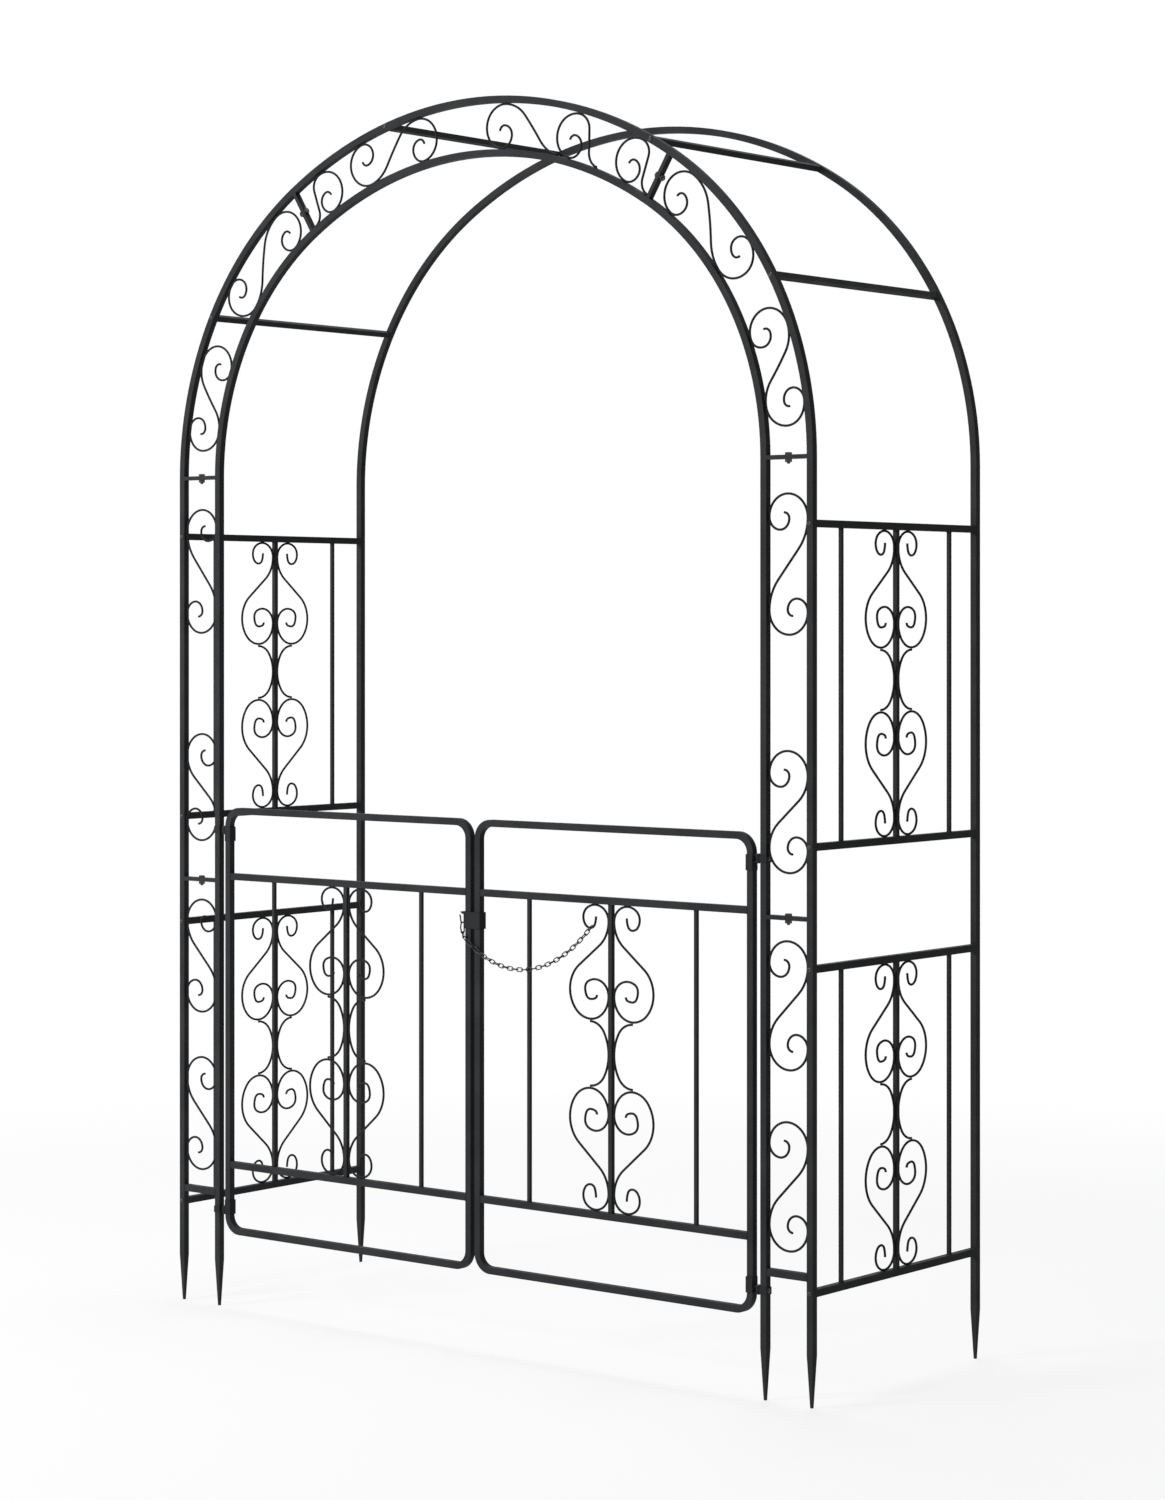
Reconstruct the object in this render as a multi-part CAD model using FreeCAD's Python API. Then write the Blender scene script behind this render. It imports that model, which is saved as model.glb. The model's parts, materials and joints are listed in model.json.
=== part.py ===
"""Garden arch with a double gate, in square steel tube and round scroll wire.

Millimetres, +Z up. X runs across the gateway, Y from the front plane to the back plane. The origin
is on the ground, under the middle of the arch. The gate hangs in the front plane, between the two
inner posts.
"""
import FreeCAD, Part
import bisect
import math
import os

from FreeCAD import Vector

os.makedirs("parts", exist_ok=True)

# Tube, bar and wire
TUBE = 12.0                 # square tube of posts, rails and gate frames
TUBE_WALL = 1.0
CROSSBAR_TUBE = 10.0        # lighter square tube between the front and the back arch
CENTRE_BAR = 8.0            # square bar in the middle of a panel or leaf
SIDE_BAR = 6.0              # square bar on either side of it
SCROLL_WIRE = 4.0

# Frame layout
SPAN = 1428.0               # between the middles of the outer posts
LADDER = 92.0               # from an outer to an inner front post, middle to middle
DEPTH = 484.0               # from the front plane to the back plane
LOWER_JOINT = 784.0         # height of the joint between lower and middle post sections
MIDDLE_SECTION = 744.0      # length of the middle post sections
ARCH_RISE = 636.0           # from the upper joint to the middle of the outer rail at the top
CROWN_HALF_ANGLE = 32.0     # degrees from the top of the arch to each arch tie
FOOT_BAR_ABOVE_HINGE = 31.0

# Stakes
STAKE_TAPER = 85.0
STAKE_TIP = 4.0
STAKE_PLUG = 5.0            # solid steel above the taper before the tube is hollow

# Side panels
PANEL_HEIGHT = 520.0        # between the middles of the two rails
PANEL_BELOW_JOINT = 80.0    # from the lower joint down to the lower panel's top rail
PANEL_ABOVE_JOINT = 116.0   # from the lower joint up to the upper panel's bottom rail
PANEL_BAR_SPACING = 160.0

# Gate leaves
GATE_ABOVE_JOINT = 130.0    # from the lower joint up to the middle of the gate's top tube
GATE_HEIGHT = 772.0         # between the middles of the bottom and the top tube
GATE_RAIL_INSET = 121.0     # from the bottom or top tube to the cross rail beside it
GATE_BAR_SPACING = 179.0
GATE_BEND = 28.0            # radius of a frame corner's middle line
POST_GAP = 15.0             # from an inner post's face to the hinge stile's face
MEETING_GAP = 9.0           # between the two leaves
DRAIN_HOLE = 4.0

# Two scrolls in each stretch of a ladder: the gap from the bar or joint at their own end, and the length
STRETCH_SCROLLS = {"lower": ((37.5, 208.0), (37.5, 208.0)),
                   "middle": ((72.5, 197.0), (59.0, 228.0)),
                   "haunch": ((50.5, 197.0), (20.4, 228.0))}

# Scrolls of the crown, from each arch tie inwards: the gap before the scroll, its length, its loops
CROWN_SCROLLS = {"left": ((5.0, 92.0, 1), (30.5, 208.0, 2)),
                 "right": ((5.0, 92.0, 1), (34.5, 104.0, 1), (-7.7, 168.0, 1))}
DIAGONAL_TURN = 1.45        # how far a diagonal turns past its chord

# Tie bars, bolts and screws
TIE_THICKNESS = 3.5
TIE_BOLT = 6.0
BOLT_PLAY = 0.25            # radial room of a bolt or screw in its hole
HEX_FLATS = 10.0
HEAD_HEIGHT = 4.0
NUT_HEIGHT = 5.0
BOLT_END = 2.5
SCREW = 5.0
SCREW_HEAD = 9.5
SCREW_HEAD_HEIGHT = 2.75
PLUG_LENGTH = 15.0
PLUG_PLAY = 0.05            # radial room of a screw in its threaded plug
SCREW_END_GAP = 1.0         # from a screw's end to the far end of its plug
SPIGOT_REACH = 22.0         # how far a spigot enters each tube
SPIGOT_WALL = 1.0
CURVED_SPIGOT_PLAY = 0.2

# Crossbars: how far in from the outer posts, or from the crown's ends, left and right
CROSSBAR_INSETS = {"low": (77.0, 77.0), "high": (225.0, 40.0)}

# Hinges
HINGE_INSET = 36.0          # from the top or bottom tube of the leaf to the hinge
HINGE_PIN = 5.0
PIN_PLAY = 0.05             # radial running room in the knuckle and the ears
PIN_HEAD = 8.0
PIN_HEAD_HEIGHT = 1.5
PIN_END = 2.0
KNUCKLE = 9.0
KNUCKLE_HEIGHT = 8.0
KNUCKLE_GAP = 0.3           # between the knuckle and an ear
EAR_THICKNESS = 2.0
BAND_THICKNESS = 1.2
BAND_HEIGHT = 12.0
WEB_WIDTH = 6.0
STRAP_THICKNESS = 1.5
STRAP_TAIL = 20.0           # length of strap beyond the hinge, away from the frame corner
RIVET = 4.0
RIVET_HEAD = 8.0
RIVET_HEAD_HEIGHT = 1.5
RIVET_PLAY = 0.05

# Latch
LATCH_BELOW_RAIL = 34.0     # from the middle of the gate's upper rail to the top of the clasp
LATCH_HEIGHT = 29.0
LATCH_PLATE = 2.0
LATCH_CLEARANCE = 1.0       # between the clasp's front plate and the stiles
LATCH_LIP = 8.0
EAR_REACH = 8.6             # of the clasp's ears and the tab, past the left stile
EAR_SIDE_GAP = 1.6          # from the left stile to the ears, which swing past it
EAR_BACK = 4.5              # how far ears and tab reach behind the gate's middle plane
CLIP_FORWARD = 3.0          # from the gate's middle plane to the clip's straight leg
LOWER_EAR_RISE = 9.0        # from the foot of the clasp to its lower ear
TAB_GAP = 0.4               # between the upper ear and the tab
CLIP_HOLE = 3.6

# Latch clip
CLIP_WIRE = 2.5
CLIP_REST_GAP = 1.0         # from the clip's tip up to the tab, while the latch is open
CLIP_LOOP = 4.0             # radius of the loop's middle line
CLIP_LOOP_DROP = 8.5        # from the lower ear down to the top of the loop's wire
CLIP_WAVE = 1.6             # how far the outer leg swings to each side
CLIP_LEG_GAP = 0.6          # between the outer leg and the ears
CLIP_SPREAD = 2.5           # how far the outer leg's free end is bent away

# Clip chain
LINK_WIRE = 1.9
LINK_LENGTH = 10.6          # inside a link
LINK_WIDTH = 4.6            # inside a link
LINK_PLAY = 0.2             # slack between neighbouring links
CLIP_PLAY = 0.4             # room of the first link on the clip's loop
CURL_PLAY = 1.3             # room of the last link above the curl's wire
CHAIN_FORWARD = 10.8        # from the gate's middle plane to the chain, where it crosses the stiles
CHAIN_CORNER = 8.0          # from the right stile's face to where the chain turns back to its curl
CHAIN_ENTRY = 0.5           # from the left stile's outer face to where the chain lies in front of it
CHAIN_SAG = 64.0            # from the foot of the clasp to the lowest point of the chain's middle line
ROUTE_STEPS = 200           # points per stretch on which its length is measured

# Lengths that follow from the ones above
HALF_TUBE = TUBE / 2
BORE = TUBE - 2 * TUBE_WALL
OUTER_X = SPAN / 2
INNER_X = OUTER_X - LADDER
FRONT_Y = -DEPTH / 2
BACK_Y = DEPTH / 2
LADDER_CLEAR = LADDER - TUBE
LADDER_X = OUTER_X - LADDER / 2
UPPER_JOINT = LOWER_JOINT + MIDDLE_SECTION
PANEL_BOTTOMS = {"lower": LOWER_JOINT - PANEL_BELOW_JOINT - PANEL_HEIGHT,
                 "upper": LOWER_JOINT + PANEL_ABOVE_JOINT}
HINGE_STILE_X = INNER_X - TUBE - POST_GAP
FREE_STILE_X = (MEETING_GAP + TUBE) / 2
PIN_X = INNER_X - HALF_TUBE - POST_GAP / 2
GATE_TOP = LOWER_JOINT + GATE_ABOVE_JOINT
GATE_BOTTOM = GATE_TOP - GATE_HEIGHT
GATE_RAILS = (GATE_BOTTOM + GATE_RAIL_INSET, GATE_TOP - GATE_RAIL_INSET)
HINGES = ((GATE_BOTTOM + HINGE_INSET, 1), (GATE_TOP - HINGE_INSET, -1))
FOOT_BAR_HEIGHT = HINGES[0][0] + FOOT_BAR_ABOVE_HINGE
EAR_OFFSET = KNUCKLE_HEIGHT / 2 + KNUCKLE_GAP

# The outer rail's middle line: a crown arc that meets a haunch arc smoothly at each arch tie
CROWN_SINE = math.sin(math.radians(CROWN_HALF_ANGLE))
CROWN_COSINE = math.cos(math.radians(CROWN_HALF_ANGLE))
CROWN_RADIUS = ((OUTER_X * CROWN_COSINE - ARCH_RISE * (1 - CROWN_SINE))
                / (CROWN_SINE + CROWN_COSINE - 1))
CROWN_CENTRE_Z = UPPER_JOINT + ARCH_RISE - CROWN_RADIUS
CROWN_END_X = CROWN_RADIUS * CROWN_SINE
HAUNCH_RADIUS = (OUTER_X - CROWN_END_X) / (1 - CROWN_SINE)
HAUNCH_CENTRE_X = OUTER_X - HAUNCH_RADIUS

SAME_CENTRE = 1e-4          # arcs whose centres lie closer than this are one arc

X_AXIS = Vector(1, 0, 0)
Y_AXIS = Vector(0, 1, 0)
Z_AXIS = Vector(0, 0, 1)
SIDES = {"left": -1, "right": 1}


def save(name, solids):
    """Write one node: a single solid, or several separate ones as a group."""
    solids = list(solids) if isinstance(solids, (list, tuple)) else [solids]
    shape = solids[0] if len(solids) == 1 else Part.makeCompound(solids)
    if not all(s.isValid() for s in solids):
        print("not valid:", name)
    shape.exportStep(os.path.join("parts", name + ".step"))
    print(f"{name}: {len(solids)} solids, {sum(s.Volume for s in solids) / 1000:.2f} cm3")


def box(low, high):
    """A box from its lowest to its highest corner."""
    low, high = Vector(*low), Vector(*high)
    size = high - low
    return Part.makeBox(size.x, size.y, size.z, low)


def rod(radius, start, end):
    """A round rod between two points."""
    run = Vector(*end) - Vector(*start)
    return Part.makeCylinder(radius, run.Length, Vector(*start), run)


def cut(shape, tools):
    """One solid with holes or recesses taken out."""
    result = shape.cut(list(tools)) if tools else shape
    return result.Solids[0]


def join(pieces):
    """Pieces welded into one solid."""
    return pieces[0].fuse(list(pieces[1:])).removeSplitter().Solids[0]


def rectangle(centre, side, up, width, height):
    """A closed rectangle across two unit directions."""
    across, rise = side * (width / 2), up * (height / 2)
    corners = [centre - across - rise, centre + across - rise,
               centre + across + rise, centre - across + rise]
    return Part.makePolygon(corners + corners[:1])


def section(centre, side, up, size, wall=0.0):
    """The cross-section of a square tube, or of a square bar where there is no wall."""
    outer = rectangle(centre, side, up, size, size)
    if not wall:
        return Part.Face(outer)
    bore = rectangle(centre, side, up, size - 2 * wall, size - 2 * wall)
    return Part.makeFace([outer, bore], "Part::FaceMakerBullseye")


def straight(start, end, side, size, wall=0.0):
    """A straight square tube or bar, with one pair of faces square to `side`."""
    start, run = Vector(*start), Vector(*end) - Vector(*start)
    up = run.cross(side).normalize()
    return section(start, side, up, size, wall).extrude(run)


def hexagon(centre, axis, side, height):
    """A hexagonal prism standing on a point, for bolt heads and nuts."""
    across = axis.cross(side).normalize()
    reach = HEX_FLATS / math.sqrt(3)
    corners = []
    for k in range(6):
        angle = math.radians(60 * k)
        corners.append(centre + side * (reach * math.cos(angle)) + across * (reach * math.sin(angle)))
    return Part.Face(Part.makePolygon(corners + corners[:1])).extrude(axis * height)


def headed_rod(start, axis, radius, length, head_radius, head_height, domed=True):
    """A turned rod from `start` along `axis`, with a domed or flat head behind `start`."""
    side = axis.cross(Z_AXIS if abs(axis.z) < 0.9 else X_AXIS).normalize()
    crest, rim, end = start - axis * head_height, start + side * head_radius, start + axis * length
    corners = [rim, start + side * radius, end + side * radius, end, crest]
    if domed:
        ball_radius = (head_radius**2 + head_height**2) / (2 * head_height)
        half_angle = math.asin(head_radius / ball_radius) / 2
        shoulder = (crest + axis * (ball_radius * (1 - math.cos(half_angle)))
                    + side * (ball_radius * math.sin(half_angle)))
        head = [Part.Arc(crest, shoulder, rim).toShape()]
    else:
        head = Part.makePolygon([crest, rim - axis * head_height, rim]).Edges
    face = Part.Face(Part.Wire(head + Part.makePolygon(corners).Edges))
    return face.revolve(start, axis, 360).Solids[0]


# Round wire: arcs and straight lengths that meet smoothly, from a list of points with headings

def run_to(start, heading, end):
    """The arc, or straight length, that leaves `start` along `heading` and reaches `end`."""
    chord = end - start
    half_turn = heading.getAngle(chord)
    if half_turn < 1e-6:
        return {"start": start, "heading": heading, "span": chord, "turn": 0.0}
    axis = heading.cross(chord).normalize()
    radius = chord.Length / (2 * math.sin(half_turn))
    return {"start": start, "heading": heading, "centre": start + axis.cross(heading) * radius,
            "axis": axis, "turn": math.degrees(2 * half_turn)}


def heading_after(run):
    """The heading at the end of a run."""
    if not run["turn"]:
        return run["heading"]
    return FreeCAD.Rotation(run["axis"], run["turn"]).multVec(run["heading"])


def smooth_pair(start, heading, end, end_heading):
    """Two arcs from one point and heading to another, or one arc or length where that is enough."""
    chord, total = end - start, heading + end_heading
    spread = 2 * (1 - heading.dot(end_heading))
    along = chord.dot(total)
    if spread < 1e-9:
        if heading.getAngle(chord) < 1e-6:
            return [run_to(start, heading, end)]
        reach = chord.dot(chord) / (4 * chord.dot(heading))
    else:
        reach = (math.sqrt(along**2 + spread * chord.dot(chord)) - along) / spread
    middle = (start + heading * reach + end - end_heading * reach) * 0.5
    first = run_to(start, heading, middle)
    second = run_to(middle, heading_after(first), end)
    if first["turn"] and second["turn"] and (first["centre"] - second["centre"]).Length < SAME_CENTRE:
        first["turn"] += second["turn"]
        return [first]
    return [first, second]


def point_on(run, part):
    """The point that lies this part of the way along a run."""
    if not run["turn"]:
        return run["start"] + run["span"] * part
    turn = FreeCAD.Rotation(run["axis"], run["turn"] * part)
    return run["centre"] + turn.multVec(run["start"] - run["centre"])


def edge_of(run):
    """The arc or line of a run."""
    if run["turn"]:
        return Part.Arc(point_on(run, 0), point_on(run, 0.5), point_on(run, 1)).toShape()
    return Part.LineSegment(point_on(run, 0), point_on(run, 1)).toShape()


def wire_along(stops, diameter=SCROLL_WIRE):
    """Round wire through (point, heading) stops."""
    edges = []
    for (start, heading), (end, end_heading) in zip(stops, stops[1:]):
        edges += [edge_of(run) for run in smooth_pair(start, heading, end, end_heading)]
    path = Part.Wire(edges)
    profile = Part.Wire([Part.makeCircle(diameter / 2, stops[0][0], stops[0][1])])
    solid = path.makePipeShell([profile], True, False).Solids[0]
    wanted = path.Length * math.pi * diameter**2 / 4
    if abs(solid.Volume / wanted - 1) > 0.01:
        print(f"wire volume is off by {solid.Volume / wanted - 1:.3f}")
    return solid


def flat_frame(origin, across, up):
    """Places (n, s) points on a plane: n across, s up."""
    def place(n, s, heading_n, heading_s):
        point = origin + across * n + up * s
        return point, (across * heading_n + up * heading_s).normalize()
    return place


def bent_frame(centre_x, centre_z, radius, start_angle, turn):
    """Places (n, s) points in a curved band of the front plane: n outwards, s along its middle."""
    def place(n, s, heading_n, heading_s):
        angle = math.radians(start_angle) + turn * s / radius
        outward = Vector(math.cos(angle), 0, math.sin(angle))
        onward = Vector(-math.sin(angle), 0, math.cos(angle)) * turn
        point = Vector(centre_x, FRONT_Y, centre_z) + outward * (radius + n)
        heading = outward * heading_n + onward * (heading_s * (radius + n) / radius)
        return point, heading.normalize()
    return place


def diagonal(half_width, half_run):
    """Where the arc at each end of an S's diagonal gives way to its straight middle."""
    turn = DIAGONAL_TURN * math.atan2(half_width, half_run)
    radius = ((half_width * math.cos(turn) - half_run * math.sin(turn)) / (math.cos(turn) - 1))
    return (half_width - radius * (1 - math.cos(turn)), half_run - radius * math.sin(turn),
            math.sin(turn), math.cos(turn))


def loop_stops(width):
    """A scroll's end loop, from its inner end: place across, distance from the tip, heading."""
    return ((-0.11 * width, 0.40 * width, 1, 0), (0.02 * width, 0.53 * width, 0, -1),
            (-0.214 * width, 0.766 * width, -1, 0), (-0.5 * width, 0.48 * width, 0, 1),
            (-0.02 * width, 0.0, 1, 0), (0.5 * width, 0.52 * width, 0, -1))


def s_scroll(frame, middle, length, loops=2):
    """An S of wire in a band; with one loop its other end stops where the diagonal lands."""
    width = LADDER_CLEAR - SCROLL_WIRE
    loop = loop_stops(width)
    landing = loop[-1][1]
    low_end = length / 2 - landing if loops == 2 else length / 2
    high_end = length / 2 - landing
    lean = (high_end - low_end) / 2
    stops = [(n, length / 2 - down, hn, hs) for n, down, hn, hs in loop]
    n, s, hn, hs = diagonal(width / 2, (high_end + low_end) / 2)
    stops += [(n, s + lean, -hn, -hs), (-n, -s + lean, -hn, -hs)]
    if loops == 2:
        stops += [(-n, -s, hn, hs) for n, s, hn, hs in reversed(stops[:len(loop)])]
    else:
        stops.append((-width / 2, -length / 2, 0, -1))
    return wire_along([frame(n, middle + s, hn, hs) for n, s, hn, hs in stops])


# The scroll figure of panels and gate leaves, measured from the rail's face and the bar's middle

FIGURE_WIDTH = 183.0        # over the outsides of the two bellies
CURL_END, CURL_END_DOWN = 33.0, 21.5
CURL_BOTTOM, CURL_BOTTOM_DOWN = 45.0, 41.5
CURL_OUTER, CURL_OUTER_DOWN = 60.5, 23.5
CURL_TOP = 34.6
BAR_TOUCH_DOWN = 29.0
BELLY_OUTER, BELLY_OUTER_DOWN = (FIGURE_WIDTH - SCROLL_WIRE) / 2, 146.5
BELLY_BOTTOM, BELLY_BOTTOM_DOWN = 45.0, 194.8
SPIRAL_TOUCH_DOWN = 155.0
SPIRAL_TOP, SPIRAL_TOP_DOWN = 34.6, 127.5
SPIRAL_OUTER, SPIRAL_OUTER_DOWN = 56.6, 143.3
SPIRAL_BOTTOM, SPIRAL_BOTTOM_DOWN = 44.5, 161.4
SPIRAL_END, SPIRAL_END_DOWN = 31.0, 153.7
LOWER_STRETCH = 1.06        # the lower half of the figure is this much taller than the upper half


def scroll_figure(place, clear_height):
    """Four S-scrolls and two neck arcs round a centre bar, between two rails."""
    touch = CENTRE_BAR / 2 + SCROLL_WIRE / 2
    half = clear_height / 2
    wires = []
    for across in (-1, 1):
        neck = []
        for up, stretch in ((1, 1.0), (-1, LOWER_STRETCH)):
            run = (BELLY_OUTER_DOWN - BAR_TOUCH_DOWN) * stretch / 2
            n, s, hn, hs = diagonal((BELLY_OUTER - touch) / 2, run)
            middle_n, middle_s = (BELLY_OUTER + touch) / 2, BAR_TOUCH_DOWN * stretch + run
            stops = [(CURL_END, CURL_END_DOWN, 0, -1), (CURL_BOTTOM, CURL_BOTTOM_DOWN, 1, 0),
                     (CURL_OUTER, CURL_OUTER_DOWN, 0, 1), (CURL_TOP, SCROLL_WIRE / (2 * stretch), -1, 0),
                     (touch, BAR_TOUCH_DOWN, 0, -1)]
            stops += [(middle_n - n, (middle_s - s) / stretch, hn, -hs),
                      (middle_n + n, (middle_s + s) / stretch, hn, -hs)]
            stops += [(BELLY_OUTER, BELLY_OUTER_DOWN, 0, -1), (BELLY_BOTTOM, BELLY_BOTTOM_DOWN, -1, 0),
                      (touch, SPIRAL_TOUCH_DOWN, 0, 1), (SPIRAL_TOP, SPIRAL_TOP_DOWN, 1, 0),
                      (SPIRAL_OUTER, SPIRAL_OUTER_DOWN, 0, -1), (SPIRAL_BOTTOM, SPIRAL_BOTTOM_DOWN, -1, 0),
                      (SPIRAL_END, SPIRAL_END_DOWN, 0, 1)]
            wires.append(wire_along([place(n * across, (half - down * stretch) * up, hn * across, hs * up)
                                     for n, down, hn, hs in stops]))
            neck.append((half - BELLY_BOTTOM_DOWN * stretch - SCROLL_WIRE) * up)
        waist = sum(neck) / 2
        wires.append(wire_along([place(BELLY_BOTTOM * across, neck[0], -across, 0),
                                 place(touch * across, waist, 0, -1),
                                 place(BELLY_BOTTOM * across, neck[1], across, 0)]))
    return wires


# Posts

def post(x, y, low, high, screws=(), rivets=(), stake=False):
    """One section of square tube post, with screw holes along Y and rivet holes along X."""
    if stake:
        taper = Part.makeLoft([rectangle(Vector(x, y, 0), X_AXIS, Y_AXIS, STAKE_TIP, STAKE_TIP),
                               rectangle(Vector(x, y, STAKE_TAPER), X_AXIS, Y_AXIS, TUBE, TUBE)],
                              True, True)
        body = join([taper, straight((x, y, STAKE_TAPER), (x, y, high), X_AXIS, TUBE)])
        body = cut(body, [straight((x, y, STAKE_TAPER + STAKE_PLUG), (x, y, high), X_AXIS, BORE)])
    else:
        body = straight((x, y, low), (x, y, high), X_AXIS, TUBE, TUBE_WALL)
    holes = [rod(SCREW / 2 + BOLT_PLAY, (x, y - TUBE, z), (x, y + TUBE, z)) for z in screws]
    holes += [rod(RIVET / 2 + RIVET_PLAY, (x - TUBE, y, z), (x + TUBE, y, z)) for z in rivets]
    return cut(body, holes)


def make_posts():
    lower_screws = [PANEL_BOTTOMS["lower"], PANEL_BOTTOMS["lower"] + PANEL_HEIGHT]
    upper_screws = [PANEL_BOTTOMS["upper"], PANEL_BOTTOMS["upper"] + PANEL_HEIGHT]
    hinges = [z for z, _ in HINGES]
    for side, sign in SIDES.items():
        rows = (("front_outer", OUTER_X, FRONT_Y, True), ("front_inner", INNER_X, FRONT_Y, False),
                ("back", OUTER_X, BACK_Y, True))
        for row, x, y, has_panel in rows:
            lower_rivets = [] if has_panel else [z for z in hinges if z < LOWER_JOINT]
            upper_rivets = [] if has_panel else [z for z in hinges if z > LOWER_JOINT]
            save(f"{row}_post_lower_{side}",
                 post(sign * x, y, 0, LOWER_JOINT, lower_screws if has_panel else (), lower_rivets, True))
            save(f"{row}_post_middle_{side}",
                 post(sign * x, y, LOWER_JOINT, UPPER_JOINT, upper_screws if has_panel else (),
                      upper_rivets))


# Arch rails

def haunch_arc(sign, y, inset, size, wall, from_angle, to_angle):
    """Square tube bent round a haunch centre; angles rise from the post towards the crown."""
    centre = Vector(sign * HAUNCH_CENTRE_X, y, UPPER_JOINT)
    angle = math.radians(from_angle)
    outward = Vector(sign * math.cos(angle), 0, math.sin(angle))
    face = section(centre + outward * (HAUNCH_RADIUS - inset), outward, Y_AXIS, size, wall)
    return face.revolve(centre, Vector(0, -sign, 0), to_angle - from_angle)


def crown_arc(y, inset, size, wall, from_angle, to_angle):
    """Square tube bent round the crown centre; angles are from the top, positive to the right."""
    centre = Vector(0, y, CROWN_CENTRE_Z)
    angle = math.radians(from_angle)
    outward = Vector(math.sin(angle), 0, math.cos(angle))
    face = section(centre + outward * (CROWN_RADIUS - inset), outward, Y_AXIS, size, wall)
    return face.revolve(centre, Y_AXIS, to_angle - from_angle)


def rail_point(x):
    """Height of the outer rail's middle line at X, and its lean from level in degrees."""
    if abs(x) < CROWN_END_X:
        return CROWN_CENTRE_Z + math.sqrt(CROWN_RADIUS**2 - x**2), math.degrees(math.asin(x / CROWN_RADIUS))
    run = abs(x) - HAUNCH_CENTRE_X
    lean = math.degrees(math.asin(run / HAUNCH_RADIUS))
    return UPPER_JOINT + math.sqrt(HAUNCH_RADIUS**2 - run**2), math.copysign(lean, x)


def crossbar_places():
    """X of the left and the right crossbar at each level, on the outer rail."""
    starts = {"low": OUTER_X, "high": CROWN_END_X}
    return {level: (left - starts[level], starts[level] - right)
            for level, (left, right) in CROSSBAR_INSETS.items()}


def make_arch_rails():
    haunch_turn = 90 - CROWN_HALF_ANGLE
    crossings = [x for pair in crossbar_places().values() for x in pair]

    def screw_holes(y, wanted):
        return [rod(SCREW / 2 + BOLT_PLAY, (x, y - TUBE, rail_point(x)[0]), (x, y + TUBE, rail_point(x)[0]))
                for x in crossings if wanted(x)]

    for name, y, insets in (("front_arch", FRONT_Y, {"outer": 0.0, "inner": LADDER}),
                            ("back_arch", BACK_Y, {"single": 0.0})):
        for rail, inset in insets.items():
            label = name if rail == "single" else f"{name}_{rail}"
            for side, sign in SIDES.items():
                tube = haunch_arc(sign, y, inset, TUBE, TUBE_WALL, 0, haunch_turn)
                holes = [] if inset else screw_holes(y, lambda x: x * sign > CROWN_END_X)
                save(f"{label}_haunch_{side}", cut(tube, holes))
            tube = crown_arc(y, inset, TUBE, TUBE_WALL, -CROWN_HALF_ANGLE, CROWN_HALF_ANGLE)
            holes = [] if inset else screw_holes(y, lambda x: abs(x) < CROWN_END_X)
            save(f"{label}_crown", cut(tube, holes))


# What joins the tubes

def make_spigots():
    posts, slim = [], BORE - CURVED_SPIGOT_PLAY
    for sign in SIDES.values():
        for x, y, inset in ((OUTER_X, FRONT_Y, 0), (INNER_X, FRONT_Y, LADDER), (OUTER_X, BACK_Y, 0)):
            foot = straight((sign * x, y, LOWER_JOINT - SPIGOT_REACH),
                            (sign * x, y, LOWER_JOINT + SPIGOT_REACH), X_AXIS, BORE, SPIGOT_WALL)
            radius = HAUNCH_RADIUS - inset
            turn = math.degrees(SPIGOT_REACH / radius)
            spring = join([straight((sign * x, y, UPPER_JOINT - SPIGOT_REACH), (sign * x, y, UPPER_JOINT),
                                    X_AXIS, slim, SPIGOT_WALL),
                           haunch_arc(sign, y, inset, slim, SPIGOT_WALL, 0, turn)])
            posts += [foot, spring]

    arch = []
    for y, inset in ((FRONT_Y, 0), (FRONT_Y, LADDER), (BACK_Y, 0)):
        haunch_turn = math.degrees(SPIGOT_REACH / (HAUNCH_RADIUS - inset))
        crown_turn = math.degrees(SPIGOT_REACH / (CROWN_RADIUS - inset))
        top = 90 - CROWN_HALF_ANGLE
        for sign in SIDES.values():
            edge = sign * CROWN_HALF_ANGLE
            arch.append(join([haunch_arc(sign, y, inset, slim, SPIGOT_WALL, top - haunch_turn, top),
                              crown_arc(y, inset, slim, SPIGOT_WALL, min(edge, edge - sign * crown_turn),
                                        max(edge, edge - sign * crown_turn))]))
    save("tube_spigots", posts + arch)


def tie_pair(centre, along, stack):
    """Two flat bars face to face between two rails, and the bolt and nut that clamp them."""
    bars, hole_radius = [], TIE_BOLT / 2 + BOLT_PLAY
    hole = Part.makeCylinder(hole_radius, 4 * TIE_THICKNESS, centre - stack * (2 * TIE_THICKNESS), stack)
    for side in (-1, 1):
        middle = centre + stack * (side * TIE_THICKNESS / 2)
        face = Part.Face(rectangle(middle - along * (LADDER_CLEAR / 2), Y_AXIS, stack, TUBE, TIE_THICKNESS))
        bars.append(cut(face.extrude(along * LADDER_CLEAR), [hole]))
    top = centre + stack * TIE_THICKNESS
    foot = centre - stack * TIE_THICKNESS
    shank = Part.makeCylinder(TIE_BOLT / 2, 2 * TIE_THICKNESS + NUT_HEIGHT + BOLT_END,
                              foot - stack * (NUT_HEIGHT + BOLT_END), stack)
    bolt = join([shank, hexagon(top, stack, along, HEAD_HEIGHT)])
    nut = cut(hexagon(foot, stack * -1, along, NUT_HEIGHT),
              [Part.makeCylinder(TIE_BOLT / 2 + PLUG_PLAY, NUT_HEIGHT, foot, stack * -1)])
    return bars, bolt, nut


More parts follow.
